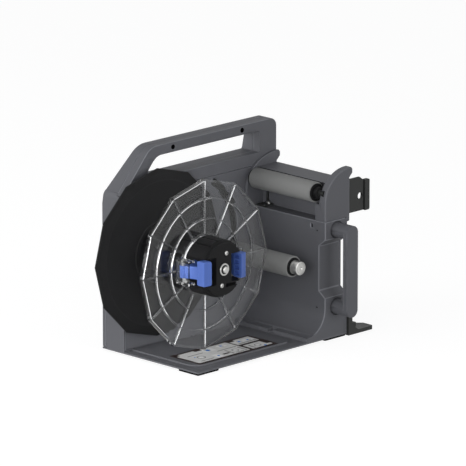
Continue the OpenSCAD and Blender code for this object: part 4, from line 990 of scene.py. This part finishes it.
@dataclass
class Clamp(Assembly):
    """Clear front flange with its two squeeze levers.

    Attributes:
        plate_t: Thickness of the flange's plate, in millimetres.
        rib_h: Height of the ribs on it, in millimetres.
    """

    plate_t: float = 2.5
    rib_h: float = 2.5

    def build(self) -> None:
        """Makes the flange and the levers."""
        self._frost_ribs(self.maker.eased("front_flange", CLEAR, "clear", 0.3))
        for node in ("left_lever", "right_lever"):
            self.maker.eased(node, BLUE, "blue", 0.7)

    def _frost_ribs(self, flange: bpy.types.Object) -> None:
        """Gives the ribs on the plate the frosty finish.

        Args:
            flange: The clear flange, with that finish in its second slot.
        """
        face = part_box("front_flange")[1].y - self.plate_t * MM
        for side in flange.data.polygons:
            if face - (self.rib_h + 0.1) * MM < side.center.y < face - 0.1 * MM:
                side.material_index = 1

    def dress(self) -> None:
        """Gives the pins and springs their finish."""
        for node in ("lever_pins", "lever_springs"):
            self.maker.dress(node, STEEL)


@dataclass
class Rollers(Assembly):
    """Guide roller and dancer roller with their ends, with sizes in millimetres.

    Attributes:
        ease: Width of the sleeves' eased ends.
        walls: Wall of each sleeve.
        hole: Radius and depth of the centre hole in the knob's face.
        boss_in: How far the raised middle of the face stays inside the knob's radius.
        boss_h: Height of that middle.
        groove: Start and end of the groove from the knob's back, and its depth.
        socket: Radius of the socket in the knob's back, and what is left in front of it.
    """

    ease: float = 0.5
    walls: dict[str, float] = field(default_factory=lambda: {"guide_roller": 3.0, "dancer_roller": 8.95})
    hole: tuple[float, float] = (2.2, 2.0)
    boss_in: float = 2.4
    boss_h: float = 0.8
    groove: Point = (3.0, 2.4, 0.35)
    socket: tuple[float, float] = (5.0, 3.3)

    def _sleeve(self, node: str, wall: float) -> None:
        """Makes a sleeve with eased ends.

        Args:
            node: CAD node of the sleeve.
            wall: Wall of the sleeve, in millimetres.
        """
        low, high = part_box(node)
        x, z, r = self.maker.axis(node)
        bore, e = r - wall * MM, self.ease * MM
        profile = [(bore, low.y), (r - e, low.y), (r - 0.3 * e, low.y + 0.3 * e), (r, low.y + e),
                   (r, high.y - e), (r - 0.3 * e, high.y - 0.3 * e), (r - e, high.y), (bore, high.y)]
        piece = self.maker.add(node + "_turned", self.maker.lathe(profile, x, z, 128), [SLEEVE.about(x, z)])
        self.maker.settle(piece, "roller", node)

    def _knob(self) -> None:
        """Makes the steel end of the dancer shaft, with a chamfer and a centre hole."""
        low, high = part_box("dancer_knob")
        x, z, r = self.maker.axis("dancer_knob")
        face = low.y + self.boss_h * MM
        mouth, deep = (v * MM for v in self.hole)
        boss = r - self.boss_in * MM
        start, end, cut = (v * MM for v in self.groove)
        bore, bottom = self.socket[0] * MM, low.y + self.socket[1] * MM
        slope = 0.2 * MM
        profile = [(0.0, low.y + deep), (mouth - 1.2 * MM, low.y + deep - 0.4 * MM),
                   (mouth - 0.3 * MM, low.y + 0.4 * MM), (mouth, low.y), (boss - 0.5 * MM, low.y),
                   (boss - 0.1 * MM, low.y + 0.3 * MM), (boss, face - 0.1 * MM), (r - 0.7 * MM, face),
                   (r - 0.2 * MM, face + 0.25 * MM), (r, face + 0.8 * MM), (r, high.y - start - slope),
                   (r - cut, high.y - start), (r - cut, high.y - end), (r, high.y - end + slope),
                   (r, high.y - 0.4 * MM), (r - 0.4 * MM, high.y), (bore, high.y), (bore, bottom),
                   (0.0, bottom)]
        piece = self.maker.add("dancer_knob_turned", self.maker.lathe(profile, x, z, closed=False),
                               [STEEL.about(x, z)])
        self.maker.settle(piece, "steel", "dancer_knob")

    def build(self) -> None:
        """Makes both rollers."""
        for node, wall in self.walls.items():
            self._sleeve(node, wall)
        self._knob()
        for node in ("guide_caps", "dancer_collar"):
            self.maker.eased(node, BLACK_MOULDING_AND_SHADE, "black_plastic", 0.3)
        self.maker.eased("axle_holder", BLACK_MOULDING_AND_SHADE, "black_plastic", 0.6)

    def dress(self) -> None:
        """Gives the shafts and the arm their finishes."""
        x, z, _ = self.maker.axis("dancer_shaft")
        self.maker.dress("dancer_shaft", STEEL.about(x, z))
        for node in ("guide_axle", "dancer_arm"):
            self.maker.dress(node, BLACK_STEEL)


@dataclass
class Tower(Assembly):
    """Side tower with its cheeks, hood, side handle and docking brackets.

    Attributes:
        mouldings: Width of each moulding's eased edges, in millimetres.
        soft: Mouldings whose eased edges carry only a faint painted highlight.
        toe_top: Height in millimetres below which the tower's edges stay sharp.
        brackets: Width of each bracket's eased edges, in millimetres.
    """

    mouldings: dict[str, float] = field(default_factory=lambda: {
        "tower": 1.1, "tower_cover": 0.6, "front_cheek": 1.5, "rear_cheek": 1.0, "guide_hood": 0.5,
        "side_handle": 2.0})
    soft: tuple[str, ...] = ("front_cheek", "rear_cheek", "tower_cover", "side_handle")
    toe_top: float = 14.0
    brackets: dict[str, float] = field(default_factory=lambda: {"upper_bracket": 0.4, "lower_bracket": 0.6})

    def build(self) -> None:
        """Makes the mouldings and the brackets with eased edges."""
        for node, width in self.mouldings.items():
            finish = SOFT_BODY if node in self.soft else BODY
            self.maker.eased(node, finish, "body", width, steps=3 if width > 1 else 2,
                             least=SHORT_EDGE, above=self.toe_top if node == "tower" else 0.0)
        for node, width in self.brackets.items():
            self.maker.eased(node, BLACK_STEEL, "black_metal", width)
        self.maker.eased("axle_clip", BLACK_STEEL, "black_plastic", 0.3)
        self.maker.eased("cross_pins", BLACK_MOULDING_AND_SHADE, "black_plastic", 0.2)


@dataclass(frozen=True)
class Lamp:
    """A large square lamp.

    Attributes:
        name: Name of the lamp.
        spot: Where it hangs, in metres.
        aim: Where it points, in metres.
        size: Length of its side, in metres.
        power: Power in watts.
    """

    name: str
    spot: Point
    aim: Point
    size: float
    power: float


@dataclass
class Studio:
    """Camera, light and floor.

    Attributes:
        place: Place of the camera, in metres.
        right: Direction to the right of its picture.
        up: Direction up its picture.
        lens: Focal length on a frame 36 mm wide, in millimetres.
        ambient_side: Strength of the world's light from the sides.
        ambient_top: Strength of the world's light from overhead.
        lamps: The lamps.
        floor_tone: Grey of the floor as it lights the rewinder.
        shadow_tone: Grey of the floor as it is seen, which keeps the shadow.
        floor_glow: Glow of the floor as it is seen.
    """

    place: Vector = field(default_factory=lambda: Vector((-5.7213, -5.7041, 2.2774)))
    right: Vector = field(default_factory=lambda: Vector((0.7055, -0.7087, 0.0)))
    up: Vector = field(default_factory=lambda: Vector((0.1804, 0.1796, 0.9670)))
    lens: float = 503.4
    ambient_side: float = 0.56
    ambient_top: float = 0.26
    lamps: tuple[Lamp, ...] = (
        Lamp("left_light", (-2.3, 0.9, 0.5), (0, 0, 0.1), 1.8, 46.0),
        Lamp("corner_light", (-2.3, -1.5, 0.6), (0, 0, 0.1), 1.6, 32.0),
        Lamp("front_light", (0.3, -2.7, 0.45), (0.05, 0, 0.12), 1.6, 22.0))
    floor_tone: float = 0.4
    shadow_tone: float = 0.22
    floor_glow: float = 0.88

    def camera(self) -> None:
        """Sets the camera at the photograph's view."""
        lens = bpy.data.cameras.new("view")
        lens.lens = self.lens
        lens.sensor_width = 36.0
        lens.clip_end = 100.0
        item = bpy.data.objects.new("view", lens)
        bpy.context.scene.collection.objects.link(item)
        right = self.right.normalized()
        back = right.cross(self.up).normalized()
        up = back.cross(right).normalized()
        turn = Matrix((right, up, back)).transposed().to_4x4()
        item.matrix_world = Matrix.Translation(self.place) @ turn
        bpy.context.scene.camera = item

    def _seen(self, tree: bpy.types.NodeTree) -> bpy.types.NodeSocket:
        """Returns a mask of the rays that show the background, seen directly, in metal or through glass.

        Args:
            tree: Node tree that takes the mask.

        Returns:
            Socket that is 1 for those rays.
        """
        path = tree.nodes.new("ShaderNodeLightPath")
        total: bpy.types.NodeSocket = path.outputs["Is Camera Ray"]
        for label in ("Is Glossy Ray", "Is Transmission Ray"):
            both = tree.nodes.new("ShaderNodeMath")
            both.use_clamp = True
            tree.links.new(total, both.inputs[0])
            wire(tree, (path, label, both, 1))
            total = both.outputs["Value"]
        return total

    def light(self) -> None:
        """Sets a world that is softer overhead and three large soft lamps."""
        world = bpy.data.worlds.new("studio")
        bpy.context.scene.world = world
        world.use_nodes = True
        tree = world.node_tree
        soft = tree.nodes["Background"]
        soft.inputs["Color"].default_value = (0.98, 0.99, 1.0, 1)
        place = tree.nodes.new("ShaderNodeTexCoord")
        split = tree.nodes.new("ShaderNodeSeparateXYZ")
        wire(tree, (place, "Generated", split, "Vector"))
        fall = tree.nodes.new("ShaderNodeMapRange")
        fall.inputs["To Min"].default_value = self.ambient_side
        fall.inputs["To Max"].default_value = self.ambient_top
        wire(tree, (split, "Z", fall, "Value"), (fall, "Result", soft, "Strength"))
        white = tree.nodes.new("ShaderNodeBackground")
        white.inputs["Color"].default_value = (1, 1, 1, 1)
        mix = tree.nodes.new("ShaderNodeMixShader")
        tree.links.new(self._seen(tree), mix.inputs[0])
        wire(tree, (soft, "Background", mix, 1), (white, "Background", mix, 2),
             (mix, "Shader", tree.nodes["World Output"], "Surface"))
        for lamp in self.lamps:
            glow = bpy.data.lights.new(lamp.name, "AREA")
            glow.size = lamp.size
            glow.energy = lamp.power
            item = bpy.data.objects.new(lamp.name, glow)
            bpy.context.scene.collection.objects.link(item)
            item.location = lamp.spot
            item.rotation_mode = "QUATERNION"
            item.rotation_quaternion = (Vector(lamp.aim) - Vector(lamp.spot)).to_track_quat("-Z", "Y")

    def floor(self) -> None:
        """Lays a pale floor that keeps a soft shadow."""
        shape = bmesh.new()
        bmesh.ops.create_grid(shape, x_segments=4, y_segments=4, size=40.0)
        mesh = bpy.data.meshes.new("floor")
        shape.to_mesh(mesh)
        shape.free()
        item = bpy.data.objects.new("floor", mesh)
        bpy.context.scene.collection.objects.link(item)
        pale = bpy.data.materials.new("pale_floor")
        pale.use_nodes = True
        tree = pale.node_tree
        tree.nodes.remove(tree.nodes["Principled BSDF"])
        dull = tree.nodes.new("ShaderNodeBsdfDiffuse")
        dull.inputs["Color"].default_value = (*[self.floor_tone] * 3, 1)
        thin = tree.nodes.new("ShaderNodeBsdfDiffuse")
        thin.inputs["Color"].default_value = (*[self.shadow_tone] * 3, 1)
        glow = tree.nodes.new("ShaderNodeEmission")
        glow.inputs["Strength"].default_value = self.floor_glow
        both = tree.nodes.new("ShaderNodeAddShader")
        mix = tree.nodes.new("ShaderNodeMixShader")
        wire(tree, (thin, "BSDF", both, 0), (glow, "Emission", both, 1))
        tree.links.new(self._seen(tree), mix.inputs[0])
        wire(tree, (dull, "BSDF", mix, 1), (both, "Shader", mix, 2),
             (mix, "Shader", tree.nodes["Material Output"], "Surface"))
        mesh.materials.append(pale)

    def build(self) -> None:
        """Sets the whole studio."""
        bpy.context.scene.view_settings.view_transform = "Standard"
        self.camera()
        self.light()
        self.floor()


@dataclass
class Fasteners(Assembly):
    """All the screws that show on the outside.

    Attributes:
        finishes: Finish of each node's screws.
        well_r: Radius in millimetres within which the handle's faces belong to a screw well and take the
            painted shade.
    """

    # The handle's screws take the rubber black as painted shade, deep in their wells
    finishes: dict[str, Finish] = field(default_factory=lambda: {
        "handle_screws": RUBBER_AND_SHADE_BLACK, "hub_screws": STEEL, "tower_screws": STEEL, "cover_screws": STEEL,
        "base_screws": STEEL, "bracket_screws": STEEL})
    well_r: float = 3.6

    def _shade_wells(self, screws: list[Screw]) -> None:
        """Paints the handle's screw wells black as painted shade, for they lie in deep shade.

        Args:
            screws: Screws at the bottoms of the wells.
        """
        cover = bpy.data.objects["handle_cover_eased"].data
        cover.materials.append(RUBBER_AND_SHADE_BLACK.material())
        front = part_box("handle_cover")[0].y + MM
        for side in cover.polygons:
            off = min((side.center - screw.seat).xz.length for screw in screws)
            if side.center.y > front and off < self.well_r * MM:
                side.material_index = len(cover.materials) - 1

    def build(self) -> None:
        """Makes each node's screws."""
        sets = ScrewSets(self.maker)
        self._shade_wells(sets.places("handle_screws"))
        for node, finish in self.finishes.items():
            sets.build(node, finish)
        sets.clear()


def main() -> None:
    """Builds the studio and every sub-assembly in order."""
    logging.basicConfig(level=logging.INFO, format="%(name)s: %(message)s")
    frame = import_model()
    Studio().build()
    maker = Maker(frame)
    for assembly in (Base(maker), Housing(maker), Spool(maker), Clamp(maker), Rollers(maker), Tower(maker),
                     Fasteners(maker)):
        assembly.build()
        assembly.dress()
        LOG.info("%s built", type(assembly).__name__)


if __name__ == "__main__":
    main()
